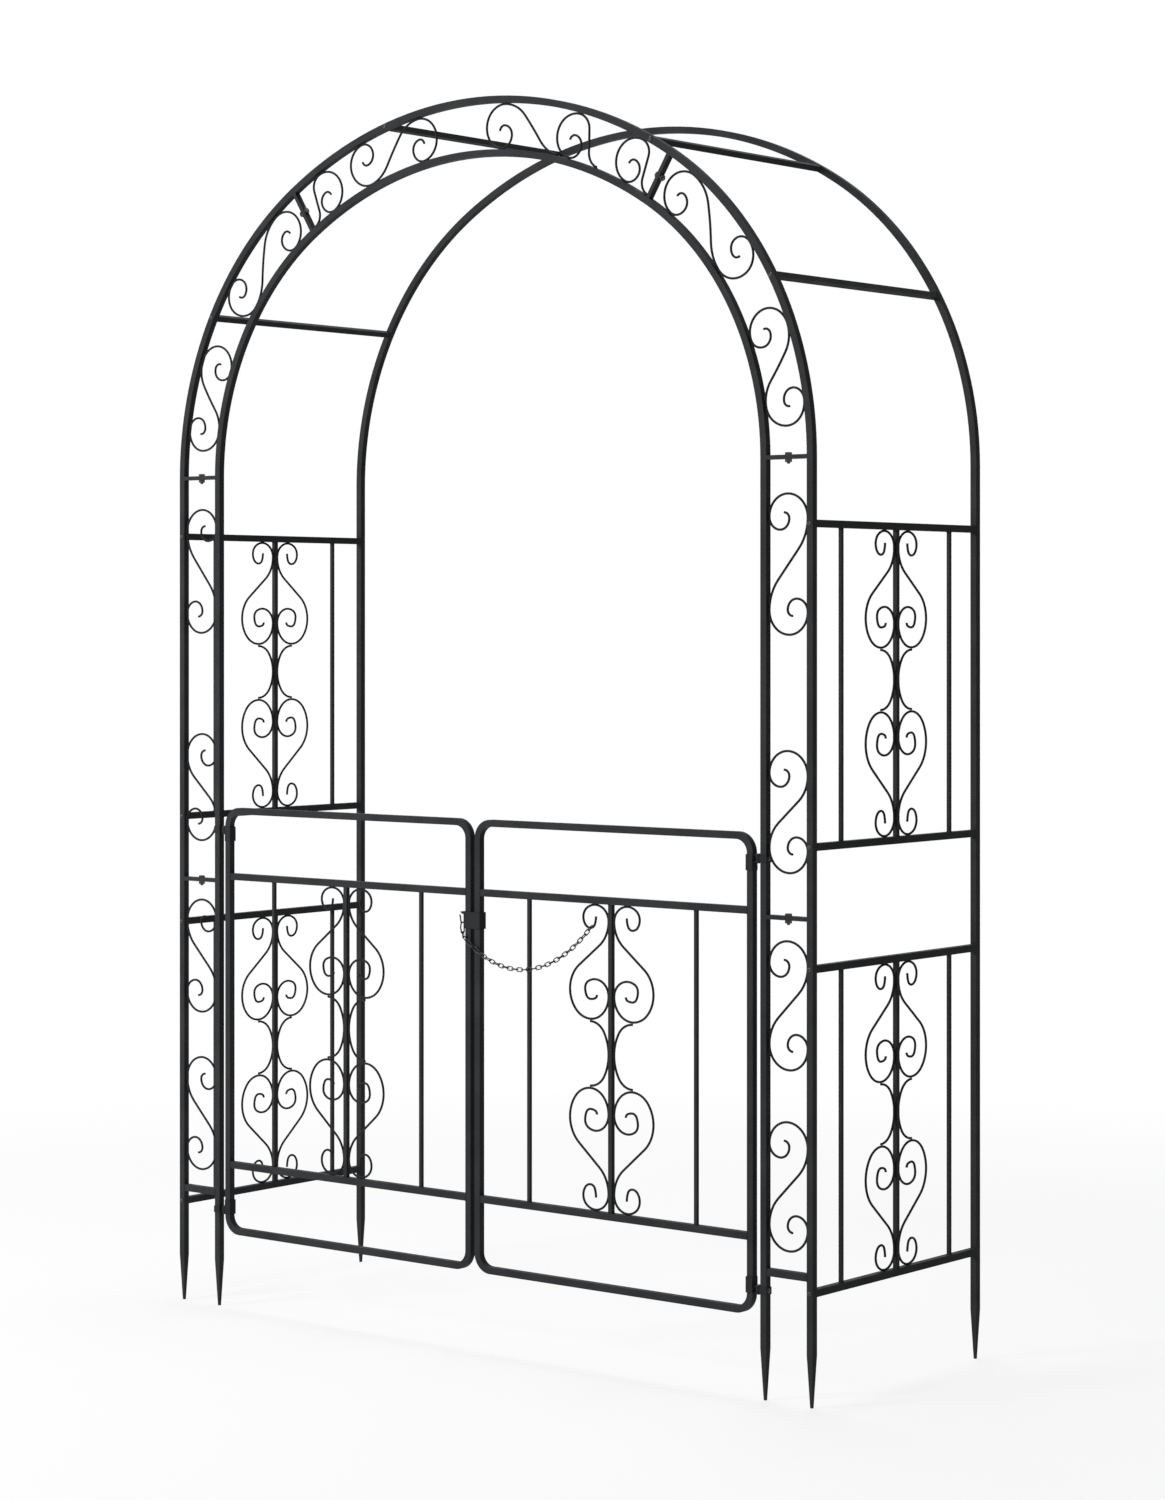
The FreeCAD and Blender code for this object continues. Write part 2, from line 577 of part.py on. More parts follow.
def make_ties():
    bolts, nuts, ladder_bars, arch_bars = [], [], [], []
    for sign in SIDES.values():
        for z in (LOWER_JOINT, UPPER_JOINT):
            bars, bolt, nut = tie_pair(Vector(sign * LADDER_X, FRONT_Y, z), X_AXIS, Z_AXIS)
            ladder_bars += bars
            bolts.append(bolt)
            nuts.append(nut)
        angle = math.radians(CROWN_HALF_ANGLE)
        outward = Vector(sign * math.sin(angle), 0, math.cos(angle))
        onward = Vector(-sign * math.cos(angle), 0, math.sin(angle))
        centre = Vector(0, FRONT_Y, CROWN_CENTRE_Z) + outward * (CROWN_RADIUS - LADDER / 2)
        bars, bolt, nut = tie_pair(centre, outward, onward)
        arch_bars += bars
        bolts.append(bolt)
        nuts.append(nut)
    save("ladder_tie_bars", ladder_bars)
    save("arch_tie_bars", arch_bars)
    save("tie_bolts", bolts)
    save("tie_nuts", nuts)
    save("ladder_foot_bars", [straight((sign * (INNER_X + HALF_TUBE), FRONT_Y, FOOT_BAR_HEIGHT),
                                       (sign * (OUTER_X - HALF_TUBE), FRONT_Y, FOOT_BAR_HEIGHT),
                                       Y_AXIS, TUBE, TUBE_WALL) for sign in SIDES.values()])


def screw(face_point, inward):
    """A domed screw with its head on a tube's face, through the tube and into a plug."""
    length = TUBE + PLUG_LENGTH - SCREW_END_GAP
    return headed_rod(face_point, inward, SCREW / 2, length, SCREW_HEAD / 2, SCREW_HEAD_HEIGHT)


def plug(start, inward, side, bore):
    """A threaded plug that fills the end of a tube."""
    up = inward.cross(side).normalize()
    body = section(start, side, up, bore).extrude(inward * PLUG_LENGTH)
    return cut(body, [Part.makeCylinder(SCREW / 2 + PLUG_PLAY, PLUG_LENGTH, start, inward)])


def make_screws_and_plugs():
    screws, plugs = [], []
    for end_y, inward in ((FRONT_Y, Y_AXIS), (BACK_Y, Y_AXIS * -1)):
        for sign in SIDES.values():
            for bottom in PANEL_BOTTOMS.values():
                for z in (bottom, bottom + PANEL_HEIGHT):
                    middle = Vector(sign * OUTER_X, end_y, z)
                    screws.append(screw(middle - inward * HALF_TUBE, inward))
                    plugs.append(plug(middle + inward * HALF_TUBE, inward, X_AXIS, BORE))
        for pair in crossbar_places().values():
            for x in pair:
                z, lean = rail_point(x)
                side = FreeCAD.Rotation(Y_AXIS, lean).multVec(X_AXIS)
                middle = Vector(x, end_y, z)
                screws.append(screw(middle - inward * HALF_TUBE, inward))
                plugs.append(plug(middle + inward * HALF_TUBE, inward, side, CROSSBAR_TUBE - 2 * TUBE_WALL))
    save("frame_screws", screws)
    save("tube_end_plugs", plugs)


def make_crossbars():
    for level, pair in crossbar_places().items():
        bars = []
        for x in pair:
            z, lean = rail_point(x)
            side = FreeCAD.Rotation(Y_AXIS, lean).multVec(X_AXIS)
            bars.append(straight((x, FRONT_Y + HALF_TUBE, z), (x, BACK_Y - HALF_TUBE, z), side,
                                 CROSSBAR_TUBE, TUBE_WALL))
        save(f"{level}_crossbars", bars)


# Scrolls of the frame

def stretch_scrolls(frame, level, start, end):
    """The two scrolls of a ladder's stretch, each measured from its own end."""
    (first_gap, first_length), (last_gap, last_length) = STRETCH_SCROLLS[level]
    return [s_scroll(frame, start + first_gap + first_length / 2, first_length),
            s_scroll(frame, end - last_gap - last_length / 2, last_length)]


def make_frame_scrolls():
    for level, start, end in (("lower", FOOT_BAR_HEIGHT, LOWER_JOINT), ("middle", LOWER_JOINT, UPPER_JOINT)):
        wires = []
        for sign in SIDES.values():
            frame = flat_frame(Vector(sign * LADDER_X, FRONT_Y, 0), X_AXIS * sign, Z_AXIS)
            wires += stretch_scrolls(frame, level, start, end)
        save(f"ladder_scrolls_{level}", wires)

    wires, radius = [], HAUNCH_RADIUS - LADDER / 2
    for sign in SIDES.values():
        frame = bent_frame(sign * HAUNCH_CENTRE_X, UPPER_JOINT, radius, 0 if sign > 0 else 180, sign)
        wires += stretch_scrolls(frame, "haunch", 0, radius * math.radians(90 - CROWN_HALF_ANGLE))
    save("haunch_scrolls", wires)

    wires, radius = [], CROWN_RADIUS - LADDER / 2
    for side, sign in SIDES.items():
        frame = bent_frame(0, CROWN_CENTRE_Z, radius, 90, sign)
        near_end = radius * math.radians(CROWN_HALF_ANGLE) - TIE_THICKNESS
        for gap, length, loops in CROWN_SCROLLS[side]:
            near_end -= gap + length
            wires.append(s_scroll(frame, -near_end - length / 2, length, loops))
    save("crown_scrolls", wires)


# Side panels

def make_panels():
    for level, bottom in PANEL_BOTTOMS.items():
        for side, sign in SIDES.items():
            x = sign * OUTER_X
            rails = [straight((x, FRONT_Y + HALF_TUBE, z), (x, BACK_Y - HALF_TUBE, z), X_AXIS,
                              TUBE, TUBE_WALL) for z in (bottom, bottom + PANEL_HEIGHT)]
            low, high = bottom + HALF_TUBE, bottom + PANEL_HEIGHT - HALF_TUBE
            bars = [straight((x, y, low), (x, y, high), X_AXIS, size)
                    for y, size in ((-PANEL_BAR_SPACING, SIDE_BAR), (0, CENTRE_BAR),
                                    (PANEL_BAR_SPACING, SIDE_BAR))]
            save(f"{level}_panel_frame_{side}", rails + bars)
            place = flat_frame(Vector(x, 0, (low + high) / 2), Y_AXIS, Z_AXIS)
            save(f"{level}_panel_scrolls_{side}", scroll_figure(place, high - low))


# Hinges

def hinge_band(sign, z):
    """The band round an inner post, with the knuckle that the pin turns in."""
    x = sign * INNER_X
    reach = HALF_TUBE + BAND_THICKNESS
    low, high = z - BAND_HEIGHT / 2, z + BAND_HEIGHT / 2
    band = cut(box((x - reach, FRONT_Y - reach, low), (x + reach, FRONT_Y + reach, high)),
               [box((x - HALF_TUBE, FRONT_Y - HALF_TUBE, low), (x + HALF_TUBE, FRONT_Y + HALF_TUBE, high))])
    rivet_hole = rod(RIVET / 2 + RIVET_PLAY, (x - sign * reach, FRONT_Y, z), (x + sign * reach, FRONT_Y, z))
    band = cut(band, [rivet_hole])
    pin_x = sign * PIN_X
    knuckle_low, knuckle_high = z - KNUCKLE_HEIGHT / 2, z + KNUCKLE_HEIGHT / 2
    web_x = sorted((pin_x, x - sign * reach))
    web = box((web_x[0], FRONT_Y - WEB_WIDTH / 2, knuckle_low),
              (web_x[1], FRONT_Y + WEB_WIDTH / 2, knuckle_high))
    barrel = rod(KNUCKLE / 2, (pin_x, FRONT_Y, knuckle_low), (pin_x, FRONT_Y, knuckle_high))
    whole = join([band, web, barrel])
    return cut(whole, [rod(HINGE_PIN / 2 + PIN_PLAY, (pin_x, FRONT_Y, low), (pin_x, FRONT_Y, high))])


def hinge_rivet(sign, z):
    """The rivet through a band and its post, headed on the ladder side."""
    reach = HALF_TUBE + BAND_THICKNESS
    start = Vector(sign * (INNER_X + reach), FRONT_Y, z)
    return headed_rod(start, X_AXIS * -sign, RIVET / 2, 2 * reach, RIVET_HEAD / 2, RIVET_HEAD_HEIGHT)


def hinge_strap(sign, z, away):
    """The U-shaped strap round the hinge stile, running away from the frame corner."""
    x = sign * HINGE_STILE_X
    near = EAR_OFFSET + EAR_THICKNESS
    low, high = sorted((z - away * near, z + away * STRAP_TAIL))
    outer = sorted((x + sign * HALF_TUBE, x - sign * (HALF_TUBE + STRAP_THICKNESS)))
    inner = sorted((x + sign * HALF_TUBE, x - sign * HALF_TUBE))
    reach = HALF_TUBE + STRAP_THICKNESS
    return cut(box((outer[0], FRONT_Y - reach, low), (outer[1], FRONT_Y + reach, high)),
               [box((inner[0], FRONT_Y - HALF_TUBE, low), (inner[1], FRONT_Y + HALF_TUBE, high))])


def hinge_ears(sign, z):
    """The two ears welded to the hinge stile, above and below the knuckle."""
    ears, face_x, pin_x = [], sign * (HINGE_STILE_X + HALF_TUBE), sign * PIN_X
    hole_radius = HINGE_PIN / 2 + PIN_PLAY
    for low in (z + EAR_OFFSET, z - EAR_OFFSET - EAR_THICKNESS):
        high = low + EAR_THICKNESS
        x = sorted((face_x, pin_x))
        plate = join([box((x[0], FRONT_Y - KNUCKLE / 2, low), (x[1], FRONT_Y + KNUCKLE / 2, high)),
                      rod(KNUCKLE / 2, (pin_x, FRONT_Y, low), (pin_x, FRONT_Y, high))])
        ears.append(cut(plate, [rod(hole_radius, (pin_x, FRONT_Y, low), (pin_x, FRONT_Y, high))]))
    return ears


def hinge_pin(sign, z):
    """A flat-headed pin through the ears and the knuckle."""
    start = Vector(sign * PIN_X, FRONT_Y, z + EAR_OFFSET + EAR_THICKNESS)
    length = 2 * (EAR_OFFSET + EAR_THICKNESS) + PIN_END
    return headed_rod(start, Z_AXIS * -1, HINGE_PIN / 2, length, PIN_HEAD / 2, PIN_HEAD_HEIGHT, domed=False)


def make_hinges():
    places = [(sign, z) for sign in SIDES.values() for z, _ in HINGES]
    save("hinge_bands", [hinge_band(sign, z) for sign, z in places])
    save("hinge_rivets", [hinge_rivet(sign, z) for sign, z in places])
    for side, sign in SIDES.items():
        straps = []
        for z, away in HINGES:
            straps += [hinge_strap(sign, z, away)] + hinge_ears(sign, z)
        save(f"gate_{side}_hinge_straps", straps)
        save(f"gate_{side}_hinge_pins", [hinge_pin(sign, z) for z, _ in HINGES])


# Gate leaves

def rounded_ring(centre_x, half_width, half_height, half_size, thickness, bend):
    """A closed frame with round corners, in the plane of the gate."""
    wires = []
    for offset in (half_size, -half_size):
        w, h, r = half_width + offset, half_height + offset, bend + offset
        middle = Vector(centre_x, FRONT_Y - thickness / 2, GATE_BOTTOM + GATE_HEIGHT / 2)
        edges = []
        for turn, (sx, sz) in enumerate(((1, 1), (-1, 1), (-1, -1), (1, -1))):
            corner = middle + Vector(sx * (w - r), 0, sz * (h - r))
            angles = [math.radians(90 * turn + a) for a in (0, 45, 90)]
            arc = [corner + Vector(r * math.cos(a), 0, r * math.sin(a)) for a in angles]
            edges.append(Part.Arc(*arc).toShape())
        joined = []
        for k, edge in enumerate(edges):
            side_end = edges[(k + 1) % 4].firstVertex().Point
            joined += [edge, Part.LineSegment(edge.lastVertex().Point, side_end).toShape()]
        wires.append(Part.Wire(joined))
    return Part.makeFace(wires, "Part::FaceMakerBullseye").extrude(Y_AXIS * thickness)


def make_gates():
    for side, sign in SIDES.items():
        middle_x = sign * (HINGE_STILE_X + FREE_STILE_X) / 2
        half_width = (HINGE_STILE_X - FREE_STILE_X) / 2
        outside = rounded_ring(middle_x, half_width, GATE_HEIGHT / 2, HALF_TUBE, TUBE, GATE_BEND)
        hollow = rounded_ring(middle_x, half_width, GATE_HEIGHT / 2, BORE / 2, BORE, GATE_BEND)
        drain = rod(DRAIN_HOLE / 2, (middle_x, FRONT_Y, GATE_BOTTOM - TUBE), (middle_x, FRONT_Y, GATE_BOTTOM))
        save(f"gate_{side}_frame", cut(outside, [hollow.fuse(drain)]))

        clear = half_width - HALF_TUBE
        rails = [straight((middle_x - clear, FRONT_Y, z), (middle_x + clear, FRONT_Y, z), Y_AXIS,
                          TUBE, TUBE_WALL) for z in GATE_RAILS]
        low, high = GATE_RAILS[0] + HALF_TUBE, GATE_RAILS[1] - HALF_TUBE
        bars = [straight((x, FRONT_Y, low), (x, FRONT_Y, high), X_AXIS, size)
                for x, size in ((middle_x - GATE_BAR_SPACING, SIDE_BAR), (middle_x, CENTRE_BAR),
                                (middle_x + GATE_BAR_SPACING, SIDE_BAR))]
        save(f"gate_{side}_rails_and_bars", rails + bars)
        place = flat_frame(Vector(middle_x, FRONT_Y, (low + high) / 2), X_AXIS, Z_AXIS)
        save(f"gate_{side}_scrolls", scroll_figure(place, high - low))


# Latch: a clasp on the right leaf, a tab on the left leaf, and a sprung clip through both

LATCH_TOP = GATE_RAILS[1] - LATCH_BELOW_RAIL
LATCH_FOOT = LATCH_TOP - LATCH_HEIGHT
LEFT_FACE_X = -FREE_STILE_X - HALF_TUBE
CLIP_X = LEFT_FACE_X - EAR_SIDE_GAP - (EAR_REACH - EAR_SIDE_GAP) / 2
CLIP_Y = FRONT_Y - CLIP_FORWARD
PLATE_BACK_Y = FRONT_Y - HALF_TUBE - LATCH_CLEARANCE
PLATE_FRONT_Y = PLATE_BACK_Y - LATCH_PLATE
TAB_TOP = LATCH_TOP - LATCH_PLATE - TAB_GAP
LOWER_EAR = LATCH_FOOT + LOWER_EAR_RISE
CHAIN_LOW = LATCH_FOOT - CHAIN_SAG


def clip_hole(low, high):
    return rod(CLIP_HOLE / 2, (CLIP_X, CLIP_Y, low), (CLIP_X, CLIP_Y, high))


def make_latch():
    far_x = FREE_STILE_X + HALF_TUBE
    back_y = FRONT_Y + HALF_TUBE
    ear_x = LEFT_FACE_X - EAR_SIDE_GAP
    front = box((ear_x, PLATE_FRONT_Y, LATCH_FOOT), (far_x + LATCH_PLATE, PLATE_BACK_Y, LATCH_TOP))
    flank = box((far_x, PLATE_BACK_Y, LATCH_FOOT), (far_x + LATCH_PLATE, back_y, LATCH_TOP))
    lip = box((far_x + LATCH_PLATE - LATCH_LIP, back_y, LATCH_FOOT),
              (far_x + LATCH_PLATE, back_y + LATCH_PLATE, LATCH_TOP))
    ears = []
    for low in (LATCH_TOP - LATCH_PLATE, LOWER_EAR):
        ear = box((LEFT_FACE_X - EAR_REACH, PLATE_FRONT_Y, low),
                  (ear_x, FRONT_Y + EAR_BACK, low + LATCH_PLATE))
        ears.append(cut(ear, [clip_hole(low, low + LATCH_PLATE)]))
    save("latch_clasp", [front, flank, lip] + ears)

    tab = box((LEFT_FACE_X - EAR_REACH, FRONT_Y - HALF_TUBE, TAB_TOP - LATCH_PLATE),
              (LEFT_FACE_X, FRONT_Y + EAR_BACK, TAB_TOP))
    save("latch_tab", cut(tab, [clip_hole(TAB_TOP - LATCH_PLATE, TAB_TOP)]))


def make_clip():
    """An R-clip: a straight leg up through the ears, a loop below, and a wavy leg in front."""
    tip = TAB_TOP - LATCH_PLATE - CLIP_REST_GAP
    loop_z = LOWER_EAR - CLIP_LOOP_DROP - CLIP_WIRE / 2 - CLIP_LOOP
    leg_out = CLIP_Y - PLATE_FRONT_Y + CLIP_LEG_GAP + CLIP_WIRE / 2
    rise = (tip - loop_z) / 4
    place = flat_frame(Vector(CLIP_X, CLIP_Y, loop_z), Y_AXIS * -1, Z_AXIS)
    save("latch_clip", wire_along([place(0, tip - loop_z, 0, -1), place(0, 0, 0, -1),
                                   place(CLIP_LOOP, -CLIP_LOOP, 1, 0), place(2 * CLIP_LOOP, 0, 0, 1),
                                   place(leg_out + CLIP_WAVE, rise, 0, 1), place(leg_out, 2 * rise, 0, 1),
                                   place(leg_out + CLIP_WAVE, 3 * rise, 0, 1),
                                   place(leg_out + CLIP_WAVE + CLIP_SPREAD, 4 * rise, 1, 1)], CLIP_WIRE))
    return Vector(CLIP_X, CLIP_Y - CLIP_LOOP, loop_z - CLIP_LOOP)


def oval_link(centre, along, broad):
    """One chain link: two half rings and two straight sides."""
    half = LINK_LENGTH / 2 - LINK_WIDTH / 2
    side = LINK_WIDTH / 2 + LINK_WIRE / 2
    stops = []
    for end in (1, -1):
        stops += [(centre + along * (end * half) + broad * (end * side), along * end),
                  (centre + along * (end * (half + side)), broad * -end),
                  (centre + along * (end * half) - broad * (end * side), along * -end)]
    return wire_along(stops + stops[:1], LINK_WIRE)


def hanging_scale(span, start_rise, end_rise):
    """The scale of a hanging chain that is this long on plan, from the rise of its ends."""
    tight, loose = 1.0, 1e5
    for _ in range(80):
        scale = (tight + loose) / 2
        reach = scale * (math.acosh(1 + start_rise / scale) + math.acosh(1 + end_rise / scale))
        tight, loose = (tight, scale) if reach > span else (scale, loose)
    return scale


def chain_route(start, end):
    """Closely spaced points of the chain's middle line, in front of the meeting stiles."""
    front_y = FRONT_Y - CHAIN_FORWARD
    near = Vector(CHAIN_ENTRY - FREE_STILE_X - HALF_TUBE, front_y, 0)
    far = Vector(FREE_STILE_X + HALF_TUBE + CHAIN_CORNER, front_y, 0)
    first, last = Vector(start.x, start.y, 0), Vector(end.x, end.y, 0)
    plan = [(first, near - first), (near, X_AXIS), (far, X_AXIS), (last, last - far)]
    flat = []
    for (here, heading), (there, next_heading) in zip(plan, plan[1:]):
        for run in smooth_pair(here, Vector(heading).normalize(), there, Vector(next_heading).normalize()):
            flat += [point_on(run, step / ROUTE_STEPS) for step in range(ROUTE_STEPS)]
    flat.append(last)
    reach = distances(flat)
    scale = hanging_scale(reach[-1], start.z - CHAIN_LOW, end.z - CHAIN_LOW)
    lowest = scale * math.acosh(1 + (start.z - CHAIN_LOW) / scale)
    return [Vector(p.x, p.y, CHAIN_LOW + scale * (math.cosh((r - lowest) / scale) - 1))
            for p, r in zip(flat, reach)]


def distances(points):
    """How far along a line of points each one lies."""
    reach = [0.0]
    for here, there in zip(points, points[1:]):
        reach.append(reach[-1] + (there - here).Length)
    return reach


def point_at(route, reach, wanted):
    """The point of a route at this length from its start."""
    k = min(max(bisect.bisect_right(reach, wanted), 1), len(reach) - 1)
    part = (wanted - reach[k - 1]) / (reach[k] - reach[k - 1])
    return route[k - 1] + (route[k] - route[k - 1]) * part


def make_chain(clip_foot):
    """The chain from the clip's loop to the small curl of the right leaf."""
    middle_x = (HINGE_STILE_X + FREE_STILE_X) / 2
    curl = Vector(middle_x - CURL_BOTTOM, FRONT_Y, GATE_RAILS[1] - HALF_TUBE - CURL_BOTTOM_DOWN)
    route = chain_route(clip_foot, curl)
    first, last = (route[0] - route[1]).normalize(), (route[-1] - route[-2]).normalize()
    clip_hook = (CLIP_WIRE + LINK_WIRE) / 2 + CLIP_PLAY
    curl_hook = ((SCROLL_WIRE + LINK_WIRE) / 2 + CURL_PLAY) / last.z
    route = [route[0] + first * clip_hook] + route + [route[-1] + last * curl_hook]
    reach = distances(route)
    half_link = LINK_LENGTH / 2 + LINK_WIRE / 2
    spread = reach[-1] - 2 * half_link
    gaps = math.ceil(spread / (LINK_LENGTH - LINK_PLAY))
    gaps += 1 - gaps % 2
    links = []
    for k in range(gaps + 1):
        middle = half_link + spread * k / gaps
        low = point_at(route, reach, middle - half_link)
        high = point_at(route, reach, middle + half_link)
        along = (high - low).normalize()
        level = Z_AXIS.cross(along).normalize()
        links.append(oval_link((low + high) * 0.5, along, level if k % 2 else along.cross(level)))
    print(f"chain: {gaps + 1} links over {reach[-1]:.1f} mm, {spread / gaps:.2f} mm apart")
    save("clip_chain", links)


make_posts()
make_arch_rails()
make_spigots()
make_ties()
make_screws_and_plugs()
make_crossbars()
make_frame_scrolls()
make_panels()
make_hinges()
make_gates()
make_latch()
make_chain(make_clip())
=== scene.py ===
# %% [markdown]
# # A black steel garden arch with a double gate
# The arch, its side panels, the two gate leaves, the hinges and the latch come as measured solids, one
# for each piece. This lesson lights them, gives them their powder coat, and adds what a workshop leaves
# on steel: weld beads, screw threads, driven screw heads and a chain of real links. The solids are
# loaded first, because they say where every later piece goes.

import json
import math
import random

import bmesh
import bpy
import numpy as np
from mathutils import Matrix, Vector
from mathutils.bvhtree import BVHTree


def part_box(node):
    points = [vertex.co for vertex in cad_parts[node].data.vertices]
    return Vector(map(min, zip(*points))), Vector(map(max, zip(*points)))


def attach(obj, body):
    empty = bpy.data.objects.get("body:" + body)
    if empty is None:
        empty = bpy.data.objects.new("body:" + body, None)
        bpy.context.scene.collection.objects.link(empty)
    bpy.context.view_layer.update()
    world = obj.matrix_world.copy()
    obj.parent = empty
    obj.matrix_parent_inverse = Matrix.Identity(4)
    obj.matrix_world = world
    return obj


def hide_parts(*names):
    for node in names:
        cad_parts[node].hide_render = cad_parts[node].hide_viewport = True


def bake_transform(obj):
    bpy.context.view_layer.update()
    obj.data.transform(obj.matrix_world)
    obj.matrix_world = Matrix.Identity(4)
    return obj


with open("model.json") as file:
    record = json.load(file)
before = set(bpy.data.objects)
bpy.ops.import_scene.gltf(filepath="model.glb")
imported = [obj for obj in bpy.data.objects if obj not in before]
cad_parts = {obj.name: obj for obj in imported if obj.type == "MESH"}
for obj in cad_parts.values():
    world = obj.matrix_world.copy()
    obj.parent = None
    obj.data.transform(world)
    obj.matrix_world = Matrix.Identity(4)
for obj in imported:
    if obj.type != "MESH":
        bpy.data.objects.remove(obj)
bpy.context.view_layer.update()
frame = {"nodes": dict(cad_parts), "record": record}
nodes = frame["nodes"]

# %% [markdown]
# The camera comes first, so that every render can be laid beside the photograph. A level camera with a
# long lens stands to the right of the gate, a little higher than the middle of the arch. Its place was
# found by lining up about eighty edges of the model with the same edges in the photograph. The horizon
# is not in the middle of the picture, and the lens shift takes care of that without tilting the camera.

# %% Place the camera
SENSOR_WIDTH = 36.0                # millimetres
PICTURE_HEIGHT = 1500              # pixels
FOCAL_LENGTH = 3480.2              # pixels
HORIZON = 620.2                    # pixels below the picture's upper edge
CAMERA_TURN = 39.004               # degrees to the right of the gate's front
CAMERA_PLACE = (3.9426, -4.8132, 1.2645)  # metres

lens = bpy.data.cameras.new("photograph_camera")
lens.sensor_width = SENSOR_WIDTH
lens.lens = FOCAL_LENGTH / PICTURE_HEIGHT * SENSOR_WIDTH
lens.shift_y = (HORIZON - PICTURE_HEIGHT / 2) / PICTURE_HEIGHT
camera = bpy.data.objects.new("photograph_camera", lens)
camera.location = CAMERA_PLACE
camera.rotation_euler = (math.pi / 2, 0, math.radians(CAMERA_TURN))
bpy.context.scene.collection.objects.link(camera)
bpy.context.scene.camera = camera
print(f"lens {lens.lens:.1f} mm, shift {lens.shift_y:.4f}")

# %% [markdown]
# Lights, floor and finishes are all graphs of shader nodes. Two small helpers add a node and link
# sockets, so that each graph reads like a list. The third gives a factor that is 1 for what the camera
# sees, directly, in a mirror or through glass, and 0 for light that falls on a surface. It is what lets
# a background look white without lighting the arch.

# %% Wire shader nodes
def add_node(tree, kind, values=None, **settings):
    """A shader node with its settings and the values of its named sockets."""
    node = tree.nodes.new(kind)
    for name, value in settings.items():
        setattr(node, name, value)
    for name, value in (values or {}).items():
        node.inputs[name].default_value = value
    return node


def join(tree, *pairs):
    """Links between an output and an input socket."""
    for out, into in pairs:
        tree.links.new(out, into)


def seen_or_mirrored(tree):
    """1 for rays that the camera sends, and for mirrored and transmitted ones, else 0."""
    path = add_node(tree, "ShaderNodeLightPath")
    seen = path.outputs["Is Camera Ray"]
    for other in ("Is Glossy Ray", "Is Transmission Ray"):
        larger = add_node(tree, "ShaderNodeMath", operation="MAXIMUM")
        join(tree, (seen, larger.inputs[0]), (path.outputs[other], larger.inputs[1]))
        seen = larger.outputs[0]
    return seen


print("shader helpers ready")

# %% [markdown]
# A studio sweep is a white room with soft lamps. The world is plain white for what the camera sees and
# for what satin paint mirrors, and much weaker for the light that it sheds, because black steel under
# an even white sky would turn grey on every side.

# %% Whiten the world
WORLD_LIGHT = 0.12                 # share of white that the world sheds on the arch

world = bpy.data.worlds.new("studio")
bpy.context.scene.world = world
world.use_nodes = True
world.node_tree.nodes.clear()
tree = world.node_tree
strength = add_node(tree, "ShaderNodeMapRange", {"To Min": WORLD_LIGHT, "To Max": 1.0})
background = add_node(tree, "ShaderNodeBackground", {"Color": (1, 1, 1, 1)})
output = add_node(tree, "ShaderNodeOutputWorld")
join(tree, (seen_or_mirrored(tree), strength.inputs["Value"]),
     (strength.outputs["Result"], background.inputs["Strength"]),
     (background.outputs["Background"], output.inputs["Surface"]))
bpy.context.scene.view_settings.view_transform = "Standard"
print(f"the world sheds {WORLD_LIGHT:.0%} of white")

# %% [markdown]
# In the photograph the gate's front faces are charcoal and the faces towards the camera's right are
# nearly black. So the key lamp and the fill stand in front on the left, a third lamp hangs overhead for
# the soft shadow on the ground, and no lamp stands on the right.

# %% Hang the lamps
LAMPS = {                          # place and width of the square in metres, power in watts
    "key": ((-2.8, -5.4, 3.2), 1.8, 280.0),
    "fill": ((-3.5, -4.5, 1.2), 3.0, 90.0),
    "top": ((-0.6, 0.6, 5.2), 2.0, 150.0),
}
LAMP_TARGET = (0, 0, 1.0)          # the middle of the gateway

for name, (place, width, power) in LAMPS.items():
    lamp = bpy.data.lights.new(name, "AREA")
    lamp.shape = "SQUARE"
    lamp.size = width
    lamp.energy = power
    light = bpy.data.objects.new(name, lamp)
    light.location = place
    aim = Vector(LAMP_TARGET) - Vector(place)
    light.rotation_euler = aim.to_track_quat("-Z", "Y").to_euler()
    bpy.context.scene.collection.objects.link(light)
    print(f"{name}: {power:.0f} W, {width} m square")

# %% [markdown]
# The ground has to take a shadow and still show no horizon. Near the arch the floor is an ordinary pale
# surface, mixed with plain white, and further out it turns into plain white alone. The mix follows the
# distance from the middle of the arch, and it holds only for what the camera or a mirror sees, so the
# floor sends no extra light up to the steel.

# %% Lay the floor
FLOOR_REACH = 30.0                 # metres from the middle to an edge
PALE_UNTIL, WHITE_FROM = 1.2, 3.4  # metres from the middle of the arch
NEAR_WHITE = 0.78                  # share of plain white in the floor under the arch
PALE = (0.93, 0.93, 0.93, 1)

floor_mesh = bpy.data.meshes.new("studio_floor")
bm = bmesh.new()
bmesh.ops.create_grid(bm, x_segments=1, y_segments=1, size=FLOOR_REACH)
bm.to_mesh(floor_mesh)
bm.free()
floor = bpy.data.objects.new("studio_floor", floor_mesh)
bpy.context.scene.collection.objects.link(floor)

sweep = bpy.data.materials.new("pale_sweep")
sweep.use_nodes = True
tree = sweep.node_tree
tree.nodes.clear()
place = add_node(tree, "ShaderNodeTexCoord")
distance = add_node(tree, "ShaderNodeVectorMath", operation="LENGTH")
fade = add_node(tree, "ShaderNodeMapRange",
                {"From Min": PALE_UNTIL, "From Max": WHITE_FROM,
                 "To Min": NEAR_WHITE, "To Max": 1.0},
                interpolation_type="SMOOTHSTEP")
shaded = add_node(tree, "ShaderNodeBsdfDiffuse", {"Color": PALE})
white = add_node(tree, "ShaderNodeEmission", {"Color": (1, 1, 1, 1), "Strength": 1.0})
both = add_node(tree, "ShaderNodeMixShader")
seen = add_node(tree, "ShaderNodeMath", operation="MULTIPLY")
output = add_node(tree, "ShaderNodeOutputMaterial")
